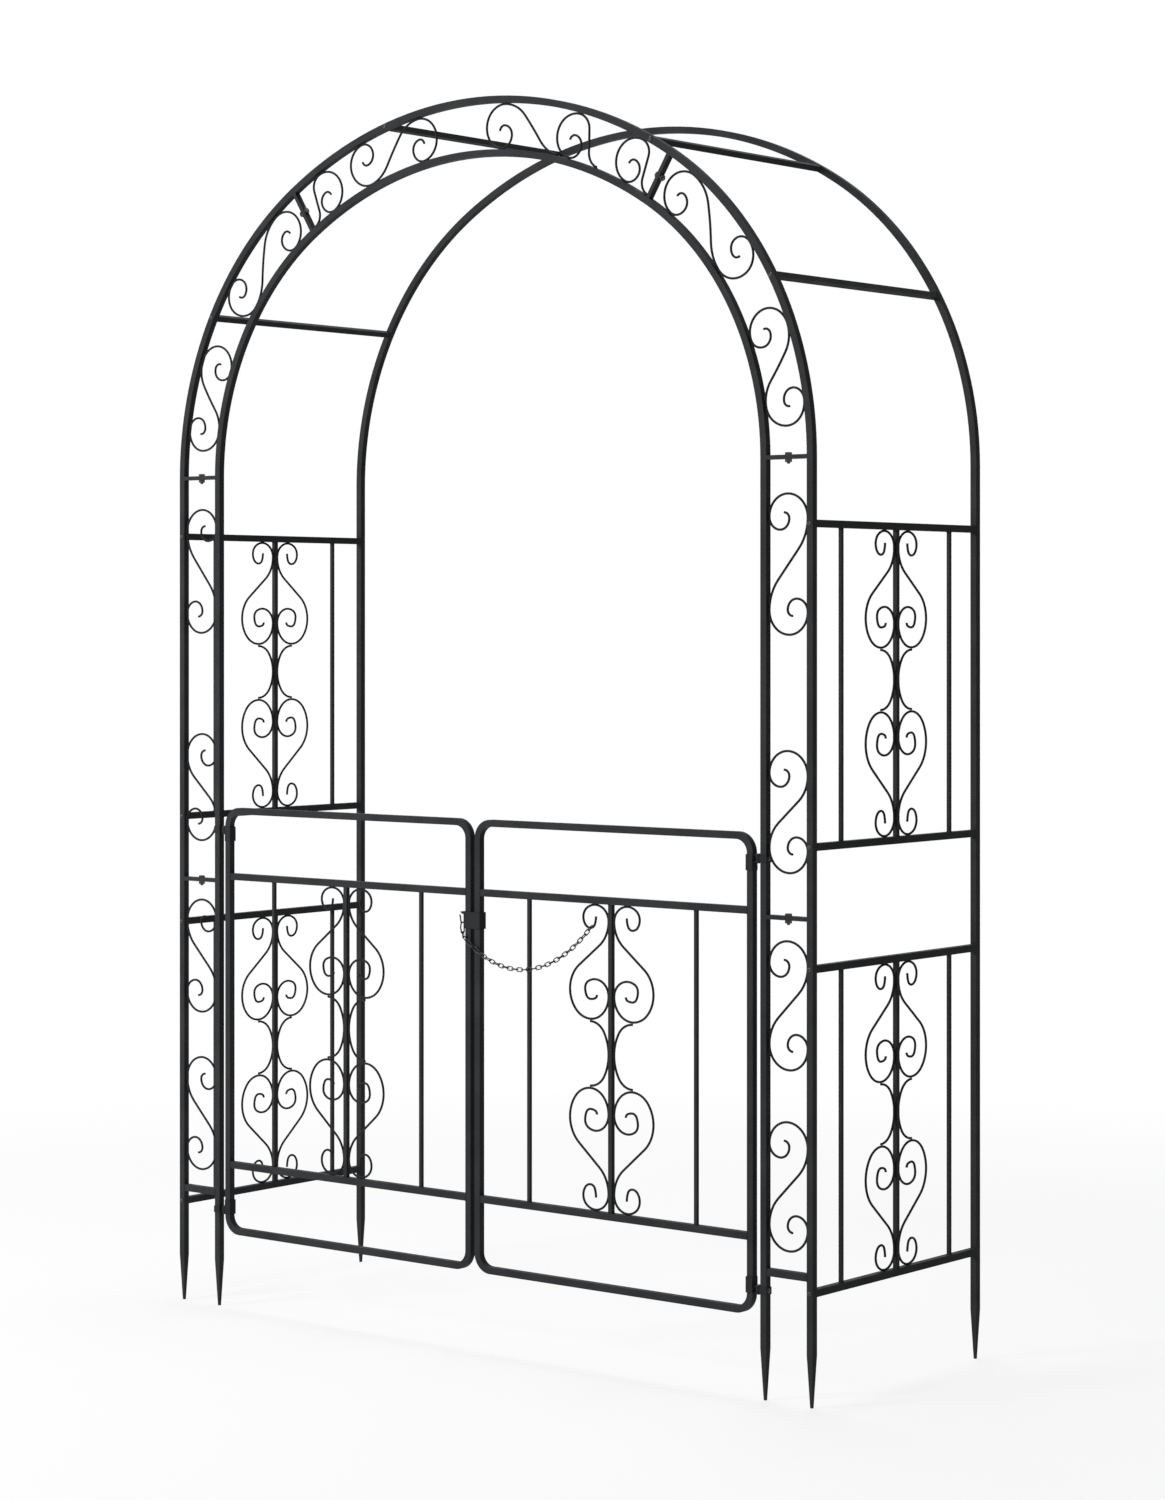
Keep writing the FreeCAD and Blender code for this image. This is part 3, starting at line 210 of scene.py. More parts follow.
join(tree, (place.outputs["Object"], distance.inputs[0]),
     (distance.outputs["Value"], fade.inputs["Value"]),
     (fade.outputs["Result"], seen.inputs[0]), (seen_or_mirrored(tree), seen.inputs[1]),
     (seen.outputs[0], both.inputs["Fac"]), (shaded.outputs[0], both.inputs[1]),
     (white.outputs[0], both.inputs[2]), (both.outputs[0], output.inputs["Surface"]))
floor_mesh.materials.append(sweep)
print(f"floor: shaded within {PALE_UNTIL} m, white beyond {WHITE_FROM} m")

# %% [markdown]
# Every finish here is built from the same three things: a noise of a chosen size, a range that its
# values are spread over, and a colour between two others. All of them read Object coordinates, so a
# pattern stays on the steel when a leaf swings.

# %% Make patterns
MILLIMETRE = 0.001


def noise(tree, coordinates, size, detail=2.0):
    """A noise pattern whose lumps are about this many metres across."""
    pattern = add_node(tree, "ShaderNodeTexNoise", {"Scale": 1 / size, "Detail": detail})
    join(tree, (coordinates.outputs["Object"], pattern.inputs["Vector"]))
    return pattern.outputs["Fac"]


def ranged(tree, value, low, high, start=0.35, end=0.65):
    """The value's middle range spread over low to high."""
    spread = add_node(tree, "ShaderNodeMapRange",
                      {"From Min": start, "From Max": end, "To Min": low, "To Max": high})
    join(tree, (value, spread.inputs["Value"]))
    return spread.outputs["Result"]


def blend_colours(tree, factor, dark, light):
    """A colour between two others, by a factor."""
    mix = add_node(tree, "ShaderNodeMix", data_type="RGBA")
    mix.inputs["A"].default_value = (*dark, 1)
    mix.inputs["B"].default_value = (*light, 1)
    join(tree, (factor, mix.inputs["Factor"]))
    return mix.outputs["Result"]


print("pattern helpers ready")

# %% [markdown]
# Powder coat is baked plastic. It has a satin sheen, a fine orange-peel dimple about a millimetre apart,
# and it flows away from sharp corners, so edges look rounded and a little thinner. The dimple is a noise
# in the bump. The rounding comes from the Bevel node, which softens the shading of edges inside one
# piece without a single new face. Where the rounded and the true direction of the surface part ways, the
# colour turns lighter: partly a thinner, rubbed coat and partly a painted highlight along the edge. A
# second noise breaks it into patches.

# %% Mix the powder coat
BLOTCH_SIZE = 0.055                # metres across a lighter or darker place
GLOSS_SIZE = 0.03                  # metres across a duller or glossier place
PEEL_SIZE = 1.1 * MILLIMETRE       # from dimple to dimple
PEEL_DEPTH = 0.08 * MILLIMETRE
# the lighter edge colour: partly a thinner, rubbed coat, partly a painted highlight
EDGE_COAT_AND_HIGHLIGHT = (0.060, 0.061, 0.064, 1)
EDGE_AGREES = (0.80, 0.97)         # rounded against true direction, on an edge and on a face
EDGE_PATCH_SIZE = 0.012                   # metres across a rubbed patch of an edge
EDGE_PATCH_SPREAD = (0.45, 0.7)
LEAST_EDGE_TINT = 0.15


def powder_coat(name, dark, light, gloss, edge_radius=0.0, peel=0.18, mirror=0.09, index=1.2):
    """Satin powder coat; with an edge radius its corners look rounded, thinner and slightly rubbed, with
    a painted highlight along them.
    """
    material = bpy.data.materials.new(name)
    material.use_nodes = True
    tree = material.node_tree
    tree.nodes.clear()
    coordinates = add_node(tree, "ShaderNodeTexCoord")
    shader = add_node(tree, "ShaderNodeBsdfPrincipled", {"IOR": index, "Specular IOR Level": mirror})
    output = add_node(tree, "ShaderNodeOutputMaterial")
    join(tree, (shader.outputs["BSDF"], output.inputs["Surface"]))

    blotches = ranged(tree, noise(tree, coordinates, BLOTCH_SIZE), 0, 1)
    colour = blend_colours(tree, blotches, dark, light)
    roughness = ranged(tree, noise(tree, coordinates, GLOSS_SIZE, 4.0), gloss[0], gloss[1])
    bump = add_node(tree, "ShaderNodeBump", {"Strength": peel, "Distance": PEEL_DEPTH})
    join(tree, (noise(tree, coordinates, PEEL_SIZE), bump.inputs["Height"]))

    if edge_radius:
        rounded = add_node(tree, "ShaderNodeBevel", {"Radius": edge_radius}, samples=4)
        true = add_node(tree, "ShaderNodeNewGeometry")
        agreement = add_node(tree, "ShaderNodeVectorMath", operation="DOT_PRODUCT")
        join(tree, (rounded.outputs["Normal"], bump.inputs["Normal"]),
             (rounded.outputs["Normal"], agreement.inputs[0]),
             (true.outputs["Normal"], agreement.inputs[1]))
        # the edge mask lightens the colour: partly thinner, rubbed coat, partly painted highlight
        edge = ranged(tree, agreement.outputs["Value"], 1, 0, *EDGE_AGREES)
        patches = ranged(tree, noise(tree, coordinates, EDGE_PATCH_SIZE, 5.0), LEAST_EDGE_TINT, 1.0, *EDGE_PATCH_SPREAD)
        edge_wear_and_highlight = add_node(tree, "ShaderNodeMath", operation="MULTIPLY")
        thin = add_node(tree, "ShaderNodeMix", data_type="RGBA")
        thin.inputs["B"].default_value = EDGE_COAT_AND_HIGHLIGHT
        join(tree, (edge, edge_wear_and_highlight.inputs[0]), (patches, edge_wear_and_highlight.inputs[1]),
             (edge_wear_and_highlight.outputs[0], thin.inputs["Factor"]), (colour, thin.inputs["A"]))
        colour = thin.outputs["Result"]
    join(tree, (colour, shader.inputs["Base Color"]), (roughness, shader.inputs["Roughness"]),
         (bump.outputs["Normal"], shader.inputs["Normal"]))
    return material


print(f"dimples {PEEL_SIZE / MILLIMETRE:.1f} mm apart, {PEEL_DEPTH / MILLIMETRE:.2f} mm deep")

# %% [markdown]
# One recipe serves every black piece, with its own colours and sheen for each. The tubes are the
# lightest. Thin round wire and small fittings carry the same coat, but their colour is made darker as
# painted shade, because less of their surface faces the key lamp. Bolts, screws and the chain are
# blackened or plated instead of painted, so they mirror more and dimple less.

# %% Mix one finish for each slot
TUBE_DARK, TUBE_LIGHT = (0.0260, 0.0270, 0.0290), (0.0330, 0.0340, 0.0360)
# wire and fittings are darker than the tubes only as painted shade
WIRE_PAINTED_SHADE_DARK, WIRE_PAINTED_SHADE_LIGHT = (0.0175, 0.0182, 0.0196), (0.0225, 0.0232, 0.0247)
FITTING_PAINTED_SHADE_DARK, FITTING_PAINTED_SHADE_LIGHT = (0.0205, 0.0213, 0.0229), (0.0260, 0.0268, 0.0285)
SCREW_DARK, SCREW_LIGHT = (0.019, 0.019, 0.020), (0.028, 0.028, 0.030)
CHAIN_DARK, CHAIN_LIGHT = (0.016, 0.016, 0.017), (0.025, 0.025, 0.026)
finishes = {
    "black_tube": powder_coat("tube_powder_coat", TUBE_DARK, TUBE_LIGHT, (0.40, 0.52),
                              0.6 * MILLIMETRE),
    "black_scroll_wire": powder_coat("wire_coat_painted_shade", WIRE_PAINTED_SHADE_DARK, WIRE_PAINTED_SHADE_LIGHT, (0.34, 0.44)),
    "black_fittings": powder_coat("fitting_coat_painted_shade", FITTING_PAINTED_SHADE_DARK, FITTING_PAINTED_SHADE_LIGHT, (0.34, 0.44),
                                  0.4 * MILLIMETRE),
    "black_fasteners": powder_coat("blackened_fasteners", SCREW_DARK, SCREW_LIGHT, (0.24, 0.34),
                                   peel=0.15, mirror=0.5, index=1.45),
    "black_chain_and_clip": powder_coat("black_chain_plating", CHAIN_DARK, CHAIN_LIGHT, (0.26, 0.38),
                                        peel=0.12, mirror=0.4, index=1.35),
}
print(", ".join(finishes))

# %% [markdown]
# The spigots and the threaded plugs sit inside the tubes and are bare, zinc-plated steel. They show
# only where a leaf or a screw is looked at from very close, so a plain brushed metal is enough: a noise
# that is stretched along one direction makes its lines.

# %% Plate the hidden inserts
ZINC_DARK, ZINC_LIGHT = (0.42, 0.43, 0.45), (0.58, 0.59, 0.60)
ZINC_GLOSS = (0.30, 0.45)
BRUSH_LINES = 900.0                # noise lumps in a metre, across the lines
BRUSH_STRETCH = (1, 1, 0.05)       # the lines run along Z

plated = bpy.data.materials.new("zinc_plated_steel")
plated.use_nodes = True
tree = plated.node_tree
shader = tree.nodes["Principled BSDF"]
shader.inputs["Metallic"].default_value = 1.0
coordinates = add_node(tree, "ShaderNodeTexCoord")
stretch = add_node(tree, "ShaderNodeMapping", {"Scale": BRUSH_STRETCH})
lines = add_node(tree, "ShaderNodeTexNoise", {"Scale": BRUSH_LINES, "Detail": 3.0})
join(tree, (coordinates.outputs["Object"], stretch.inputs["Vector"]),
     (stretch.outputs["Vector"], lines.inputs["Vector"]))
join(tree, (blend_colours(tree, lines.outputs["Fac"], ZINC_DARK, ZINC_LIGHT),
            shader.inputs["Base Color"]),
     (ranged(tree, lines.outputs["Fac"], *ZINC_GLOSS), shader.inputs["Roughness"]))
finishes["plain_steel_inserts"] = plated
print(f"{plated.name}: {BRUSH_LINES:.0f} lines in a metre")

# %% [markdown]
# The record says which slot each node belongs to, so the finishes are handed out in one loop. Only the
# material slots change: the measured meshes stay as they are.

# %% Coat every node
slot_of = {part["node"]: part["material_slot"] for part in frame["record"]["subparts"]}
for name, node in nodes.items():
    node.data.materials.clear()
    node.data.materials.append(finishes[slot_of[name]])
print({slot: sum(1 for s in slot_of.values() if s == slot) for slot in finishes})

# %% [markdown]
# Several pieces are made again in finer form: chain links, bolts, nuts and screws. Each of them has to
# lie exactly where its solid lies. A node may hold many separate solids, so they are told apart by
# walking over shared corners of a merged copy, always in the mesh's own order, so that every run finds
# them in the same order. The spread of each one's surface gives its middle and its three own
# directions, from the thinnest to the longest.

# %% Read the solids of a node
SAME_POINT = 1e-6                  # metres


def separate_solids(name):
    """A merged copy of a node's mesh and the faces of each solid in it, in the mesh's own order."""
    merged = bmesh.new()
    merged.from_mesh(nodes[name].data)
    bmesh.ops.remove_doubles(merged, verts=merged.verts, dist=SAME_POINT)
    waiting, solids = dict.fromkeys(merged.faces), []
    while waiting:
        reached, members = [next(iter(waiting))], []
        del waiting[reached[0]]
        while reached:
            face = reached.pop()
            members.append(face)
            for corner in face.verts:
                for other in corner.link_faces:
                    if other in waiting:
                        del waiting[other]
                        reached.append(other)
        solids.append(members)
    return merged, solids


def solids_of(name):
    """The middle and the thinnest, middle and longest direction of each solid in a node."""
    merged, solids = separate_solids(name)
    found = []
    for members in solids:
        weights = np.array([face.calc_area() for face in members])
        middles = np.array([face.calc_center_median() for face in members])
        centre = weights @ middles / weights.sum()
        offsets = (middles - centre) * np.sqrt(weights)[:, None]
        _, directions = np.linalg.eigh(offsets.T @ offsets)
        found.append((Vector(centre), [Vector(directions[:, k]) for k in range(3)]))
    merged.free()
    return found


print(f"tie_bolts holds {len(solids_of('tie_bolts'))} solids")

# %% [markdown]
# Links, bolts, nuts and screws are each made once and copied, and weld beads are made one by one. One
# helper gives the matrix that puts a small mesh's own axes where they belong, one keeps the small mesh,
# and one adds copies of it to a larger bmesh. The last turns a bmesh into a named piece: its doubles
# are merged, its faces are turned outwards, and it takes a body to ride on and a finish.

# %% Finish a piece
def placed(centre, x_axis, y_axis, z_axis):
    """The matrix that puts a piece's own axes on these directions, at this place."""
    turn = Matrix((x_axis, y_axis, z_axis)).transposed().to_4x4()
    return Matrix.Translation(centre) @ turn


def small_mesh(bm, name):
    """A bmesh as a mesh that can be copied into a larger piece."""
    mesh = bpy.data.meshes.new(name)
    bm.to_mesh(mesh)
    bm.free()
    return mesh


def add_copies(bm, source, matrices):
    """Copies of a small mesh at each matrix, in one bmesh."""
    for matrix in matrices:
        copy = source.copy()
        copy.transform(matrix)
        bm.from_mesh(copy)
        bpy.data.meshes.remove(copy)


def finish_piece(bm, name, body, slot, smooth=True):
    """A bmesh becomes a visible piece that rides on a body and takes a slot's finish."""
    bmesh.ops.remove_doubles(bm, verts=bm.verts, dist=SAME_POINT)
    bmesh.ops.recalc_face_normals(bm, faces=bm.faces)
    mesh = bpy.data.meshes.new(name)
    bm.to_mesh(mesh)
    bm.free()
    for face in mesh.polygons:
        face.use_smooth = smooth
    mesh.materials.append(finishes[slot])
    piece = bpy.data.objects.new(name, mesh)
    bpy.context.scene.collection.objects.link(piece)
    if body:
        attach(piece, body)
    print(f"{name}: {len(mesh.polygons)} faces")
    return piece


print("piece helpers ready")

# %% [markdown]
# The keeper chain hangs from the loop of the latch clip, crosses in front of the two meeting stiles and
# ends in the small curl of the right leaf. A link is bent from round wire and welded at one side. It is
# made here as a real bender would: a wire section is swept through half a turn, pushed along a side,
# swept through the second half and pushed back. The weld is a slight swelling on one side.

# %% Bend one link of the chain
LINK_WIRE = 1.9 * MILLIMETRE
LINK_INSIDE = (10.6 * MILLIMETRE, 4.6 * MILLIMETRE)  # length and width of the opening
WIRE_SIDES = 12
HALF_TURN_STEPS = 12
SIDE_STEPS = 4
RING_CLOSES = 0.02 * MILLIMETRE    # the wire's last section meets its first within this
WELD_REACH = 0.2 * MILLIMETRE      # from the middle of one side
WELD_SWELL = 1.14


def link_mesh():
    """One oval link, its length along Z and its width along Y."""
    bend = (LINK_INSIDE[1] + LINK_WIRE) / 2
    half_side = (LINK_INSIDE[0] - LINK_INSIDE[1]) / 2
    bm = bmesh.new()
    start = Matrix.Translation((0, bend, half_side))
    bmesh.ops.create_circle(bm, segments=WIRE_SIDES, radius=LINK_WIRE / 2, matrix=start)
    edges, end = bm.edges[:], 1
    for _ in range(2):
        swept = bmesh.ops.spin(bm, geom=edges, cent=(0, 0, end * half_side), axis=(1, 0, 0),
                               angle=math.pi, steps=HALF_TURN_STEPS)
        edges = [e for e in swept["geom_last"] if isinstance(e, bmesh.types.BMEdge)]
        for _ in range(SIDE_STEPS):
            pushed = bmesh.ops.extrude_edge_only(bm, edges=edges)
            corners = [v for v in pushed["geom"] if isinstance(v, bmesh.types.BMVert)]
            bmesh.ops.translate(bm, verts=corners, vec=(0, 0, -2 * end * half_side / SIDE_STEPS))
            edges = [e for e in pushed["geom"] if isinstance(e, bmesh.types.BMEdge)]
            edges = [e for e in edges if all(v in corners for v in e.verts)]
        end = -end
    bmesh.ops.remove_doubles(bm, verts=bm.verts, dist=RING_CLOSES)
    weld = [v for v in bm.verts if abs(v.co.z) < WELD_REACH and v.co.y > 0]
    bmesh.ops.scale(bm, verts=weld, vec=(WELD_SWELL, WELD_SWELL, 1.0),
                    space=Matrix.Translation((0, -bend, 0)))
    return small_mesh(bm, "one_link")


one_link = link_mesh()
print(f"a link has {len(one_link.polygons)} faces")

# %% [markdown]
# The solids of the chain already hang as a chain does, every second link turned by a quarter. So each
# fine link takes the place and the directions of one solid link.

links = [placed(centre, thin, broad, long)
         for centre, (thin, broad, long) in solids_of("clip_chain")]
bm = bmesh.new()
add_copies(bm, one_link, links)
chain = finish_piece(bm, "clip_chain_links", None, "black_chain_and_clip")
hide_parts("clip_chain")
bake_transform(chain)
print(f"{len(links)} links")

# %% [markdown]
# The latch clip is bent from spring wire. Its solid is right, but its mesh is made of loose flat
# triangles, and a shiny wire shows each of them. A merged copy takes its place: neighbouring faces are
# shaded smoothly, and only the rims of the cut ends stay sharp.

# %% Smooth the latch clip
SHARP_RIM = math.radians(40)       # faces that turn by more than this meet at a sharp rim


def smoothed_copy(name):
    """A merged copy of a node's mesh whose rims are marked as sharp."""
    bm = bmesh.new()
    bm.from_mesh(nodes[name].data)
    bmesh.ops.remove_doubles(bm, verts=bm.verts, dist=SAME_POINT)
    for edge in bm.edges:
        edge.smooth = edge.calc_face_angle(0) < SHARP_RIM
    return bm


clip = finish_piece(smoothed_copy("latch_clip"), "latch_clip_smooth", "latch_clip",
                    "black_chain_and_clip")
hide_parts("latch_clip")

# %% [markdown]
# The pairs of flat tie bars are clamped by M6 bolts. A hexagon head has a shallow cone across its
# corners, because the bar is turned before the head is cut off. The prism is trimmed here in the same
# way, by a ring of tilted planes, each of which cuts a little off a corner and closes the cut.

# %% Cut a hexagon with turned corners
FLATS = 10.0 * MILLIMETRE
CONE_START = 0.97                  # share of the flats at which the cone begins
CHAMFER_STEPS = 24
CHAMFER_ANGLE = math.radians(30)


def hexagon(bm, low, high, chamfered):
    """A hexagonal prism along Z, its corners turned off at the chosen ends."""
    corner_radius = FLATS / math.sqrt(3)
    made = bmesh.ops.create_cone(bm, segments=6, radius1=corner_radius, radius2=corner_radius,
                                 depth=high - low, cap_ends=True,
                                 matrix=Matrix.Translation((0, 0, (low + high) / 2)))
    own = set(made["verts"])
    for end_height, direction in ((high, 1), (low, -1)):
        if direction not in chamfered:
            continue
        for step in range(CHAMFER_STEPS):
            turn = 2 * math.pi * (step + 0.5) / CHAMFER_STEPS
            outwards = Vector((math.cos(turn), math.sin(turn), 0))
            upwards = Vector((0, 0, direction * math.cos(CHAMFER_ANGLE)))
            normal = outwards * math.sin(CHAMFER_ANGLE) + upwards
            rim = outwards * (FLATS / 2 * CONE_START) + Vector((0, 0, end_height))
            geometry = [v for v in bm.verts if v in own]
            geometry += [e for e in bm.edges if all(v in own for v in e.verts)]
            geometry += [f for f in bm.faces if all(v in own for v in f.verts)]
            cut = bmesh.ops.bisect_plane(bm, geom=geometry, plane_co=rim, plane_no=normal,
                                         clear_outer=True)
            edges = [e for e in cut["geom_cut"] if isinstance(e, bmesh.types.BMEdge)]
            bmesh.ops.edgeloop_fill(bm, edges=edges)
            own = {v for v in own if v.is_valid} | {v for e in edges for v in e.verts}


print(f"{FLATS / MILLIMETRE:.0f} mm across the flats")

# %% [markdown]
# The thread that shows beyond each nut is a V-shaped ridge, swept round the rod and up at the same time.
# A spin with a step along its axis does that in one operator. The hidden part of the rod inside the bars
# and the nut stays plain.

# %% Thread a bolt
HEAD_HEIGHT = 4.0 * MILLIMETRE
NUT_HEIGHT = 5.0 * MILLIMETRE
BAR_PAIR = 7.0 * MILLIMETRE        # thickness of two tie bars face to face
BOLT_RADIUS = 3.0 * MILLIMETRE
BOLT_END = 2.5 * MILLIMETRE        # what stands out beyond the nut
ROD_SIDES = 32
THREAD_PITCH = 1.0 * MILLIMETRE
THREAD_DEPTH = 0.45 * MILLIMETRE
THREAD_HALF = 0.45 * THREAD_PITCH  # half the width of the ridge's foot
THREAD_START = 0.7 * THREAD_PITCH  # above the end of the rod
THREAD_TURNS = 2.0
THREAD_STEPS = 20


def rod(bm, radius, low, high):
    """A round rod along Z."""
    bmesh.ops.create_cone(bm, segments=ROD_SIDES, radius1=radius, radius2=radius, depth=high - low,
                          cap_ends=True, matrix=Matrix.Translation((0, 0, (low + high) / 2)))


def thread(bm, radius, low):
    """A V-shaped ridge that climbs round a rod, starting at height `low`."""
    foot = radius - THREAD_DEPTH
    corners = [bm.verts.new((foot, 0, low - THREAD_HALF)), bm.verts.new((radius, 0, low)),
               bm.verts.new((foot, 0, low + THREAD_HALF))]
    profile = bm.faces.new(corners)
    bmesh.ops.spin(bm, geom=[profile, *profile.edges], cent=(0, 0, 0), axis=(0, 0, 1),
                   dvec=(0, 0, THREAD_PITCH / THREAD_STEPS), angle=2 * math.pi * THREAD_TURNS,
                   steps=int(THREAD_STEPS * THREAD_TURNS))


def bolt_mesh():
    """A bolt along Z whose head stands on height 0 and which grips a pair of bars below it."""
    bm = bmesh.new()
    hexagon(bm, 0, HEAD_HEIGHT, (1,))
    end = -BAR_PAIR - NUT_HEIGHT - BOLT_END
    rod(bm, BOLT_RADIUS - THREAD_DEPTH, end, 0)
    thread(bm, BOLT_RADIUS, end + THREAD_START)
    return small_mesh(bm, "one_bolt")


def nut_mesh():
    """A nut along Z, from height 0 downwards, turned off at both ends."""
    bm = bmesh.new()
    hexagon(bm, -NUT_HEIGHT, 0, (1, -1))
    return small_mesh(bm, "one_nut")


one_bolt, one_nut = bolt_mesh(), nut_mesh()
print(f"a bolt has {len(one_bolt.polygons)} faces and a nut {len(one_nut.polygons)}")

# %% [markdown]
# Each bolt belongs to the nut nearest to it. The line from the nut to the bolt's head gives the
# direction, and the known thickness of the bars gives the seat under the head.

# %% Clamp the tie bars
def clamp_places():
    """For each clamp: the matrix of its seat under the bolt's head, with Z along the bolt."""
    seats = []
    nut_middles = [centre for centre, _ in solids_of("tie_nuts")]
    for centre, (_, _, along) in solids_of("tie_bolts"):
        nut = min(nut_middles, key=lambda middle: (middle - centre).length)
        up = along if along.dot(centre - nut) > 0 else -along
        up.normalize()
        seat = nut + up * (NUT_HEIGHT / 2 + BAR_PAIR)
        side = Vector((0, 1, 0)).cross(up).normalized()
        seats.append(placed(seat, side, up.cross(side), up))
    return seats


seats = clamp_places()
bm = bmesh.new()
add_copies(bm, one_bolt, seats)
bolts = finish_piece(bm, "tie_bolts_threaded", "arch_frame", "black_fasteners", smooth=False)
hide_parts("tie_bolts")
bm = bmesh.new()
add_copies(bm, one_nut, [seat @ Matrix.Translation((0, 0, -BAR_PAIR)) for seat in seats])
nuts = finish_piece(bm, "tie_nuts_chamfered", "arch_frame", "black_fasteners", smooth=False)
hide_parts("tie_nuts")

# %% [markdown]
# Domed screws hold the panel rails and the crossbars. Their heads have a hexagon socket. The head is
# turned from a profile by a full spin. The socket starts as round rings of that spin, and its corners
# are then moved out to a hexagon, which keeps one clean surface from rim to floor.

# %% Turn a domed screw with a socket
SCREW_RADIUS = 2.5 * MILLIMETRE
SCREW_LENGTH = 26.0 * MILLIMETRE
DOME_RADIUS = 4.75 * MILLIMETRE
DOME_HEIGHT = 2.75 * MILLIMETRE
SOCKET_FLATS = 3.0 * MILLIMETRE
SOCKET_DEPTH = 1.7 * MILLIMETRE
SOCKET_LIP = 0.35 * MILLIMETRE     # from the socket's flat to the mouth's edge
LIP_DROP = 0.1 * MILLIMETRE
DRILL_POINT = 0.2 * MILLIMETRE     # how far the socket's floor dips in its middle
DOME_RINGS = 6
TURN_STEPS = 24


def screw_mesh():
    """A screw along Z whose head stands on height 0."""
    ball = (DOME_RADIUS**2 + DOME_HEIGHT**2) / (2 * DOME_HEIGHT)
    rim_turn = math.asin(DOME_RADIUS / ball)
    mouth_turn = math.asin((SOCKET_FLATS / 2 + SOCKET_LIP) / ball)
    profile = [(0, -SCREW_LENGTH), (SCREW_RADIUS, -SCREW_LENGTH), (SCREW_RADIUS, 0),
               (DOME_RADIUS, 0)]
    for ring in range(1, DOME_RINGS + 1):
        turn = rim_turn + (mouth_turn - rim_turn) * ring / DOME_RINGS
        profile.append((ball * math.sin(turn), DOME_HEIGHT - ball * (1 - math.cos(turn))))
    mouth = profile[-1][1]
    floor_height = DOME_HEIGHT - SOCKET_DEPTH
    profile += [(SOCKET_FLATS / 2, mouth - LIP_DROP), (SOCKET_FLATS / 2, floor_height),
                (0, floor_height - DRILL_POINT)]
    bm = bmesh.new()
    corners = [bm.verts.new((radius, 0, height)) for radius, height in profile]
    edges = [bm.edges.new(pair) for pair in zip(corners, corners[1:])]
    bmesh.ops.spin(bm, geom=corners + edges, cent=(0, 0, 0), axis=(0, 0, 1), angle=2 * math.pi,
                   steps=TURN_STEPS, use_merge=True)
    bmesh.ops.remove_doubles(bm, verts=bm.verts, dist=SAME_POINT)
    for v in bm.verts:
        if v.co.z > 0 and abs(v.co.xy.length - SOCKET_FLATS / 2) < SAME_POINT:
            turn = math.atan2(v.co.y, v.co.x) % (math.pi / 3) - math.pi / 6
            v.co.xy = v.co.xy / math.cos(turn)
    bmesh.ops.recalc_face_normals(bm, faces=bm.faces)
    return small_mesh(bm, "one_screw")


one_screw = screw_mesh()
print(f"a screw has {len(one_screw.polygons)} faces")

# %% [markdown]
# The screws run from front to back, so their heads all face along Y. The front ones look forwards and
# the back ones backwards, and the outermost face of the node's box is the top of the domes.

# %% Drive the screws
def screw_places():
    """The seat of each screw's head, with Z pointing out of the frame."""
    seats = []
    low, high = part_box("frame_screws")
    for centre, _ in solids_of("frame_screws"):
        out = -1 if centre.y < 0 else 1
        face = low.y + DOME_HEIGHT if out < 0 else high.y - DOME_HEIGHT
        z_axis = Vector((0, out, 0))
        x_axis = Vector((1, 0, 0))
        seat = Vector((centre.x, face, centre.z))
        seats.append(placed(seat, x_axis, z_axis.cross(x_axis), z_axis))
    return seats


bm = bmesh.new()
add_copies(bm, one_screw, screw_places())
screws = finish_piece(bm, "frame_screws_with_sockets", "arch_frame", "black_fasteners")
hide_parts("frame_screws")

# %% [markdown]
# Every scroll is held by short welds where its wire touches a bar, a rail or a post. Those places are
# found, not drawn. Each corner of the wire's mesh asks for the nearest steel beside it, and the corners
# that lie within a fraction of a millimetre of it form small patches. A patch's own spread gives the
# direction of the wire, and the face that answered gives the direction of the joint.

# %% Find where the scrolls touch
TOUCH = 0.12 * MILLIMETRE          # the most between a wire's corner and the steel that it meets
PATCH_REACH = 8.0 * MILLIMETRE     # corners nearer than this to a patch's first one belong to it
SAME_SIDE = 0.8                    # cosine of the turn between two faces of one joint
posts = [name for name in nodes if name.startswith("front_") and "_post_" in name]
arcs = [name for name in nodes if name.startswith("front_arch")]
SCROLL_HOLDERS = {
    "arch_frame": {"ladder_scrolls_lower": posts, "ladder_scrolls_middle": posts,
                   "haunch_scrolls": arcs, "crown_scrolls": arcs,
                   "lower_panel_scrolls_left": ["lower_panel_frame_left"],
                   "lower_panel_scrolls_right": ["lower_panel_frame_right"],
                   "upper_panel_scrolls_left": ["upper_panel_frame_left"],
                   "upper_panel_scrolls_right": ["upper_panel_frame_right"]},
    "gate_left": {"gate_left_scrolls": ["gate_left_rails_and_bars"]},
    "gate_right": {"gate_right_scrolls": ["gate_right_rails_and_bars"]},
}


def surface_of(names):
    """One search tree over the faces of several nodes."""
    corners, faces = [], []
    for name in names:
        mesh = nodes[name].data
        start = len(corners)
        corners += [v.co.copy() for v in mesh.vertices]
        faces += [[start + k for k in face.vertices] for face in mesh.polygons]
    return BVHTree.FromPolygons(corners, faces)


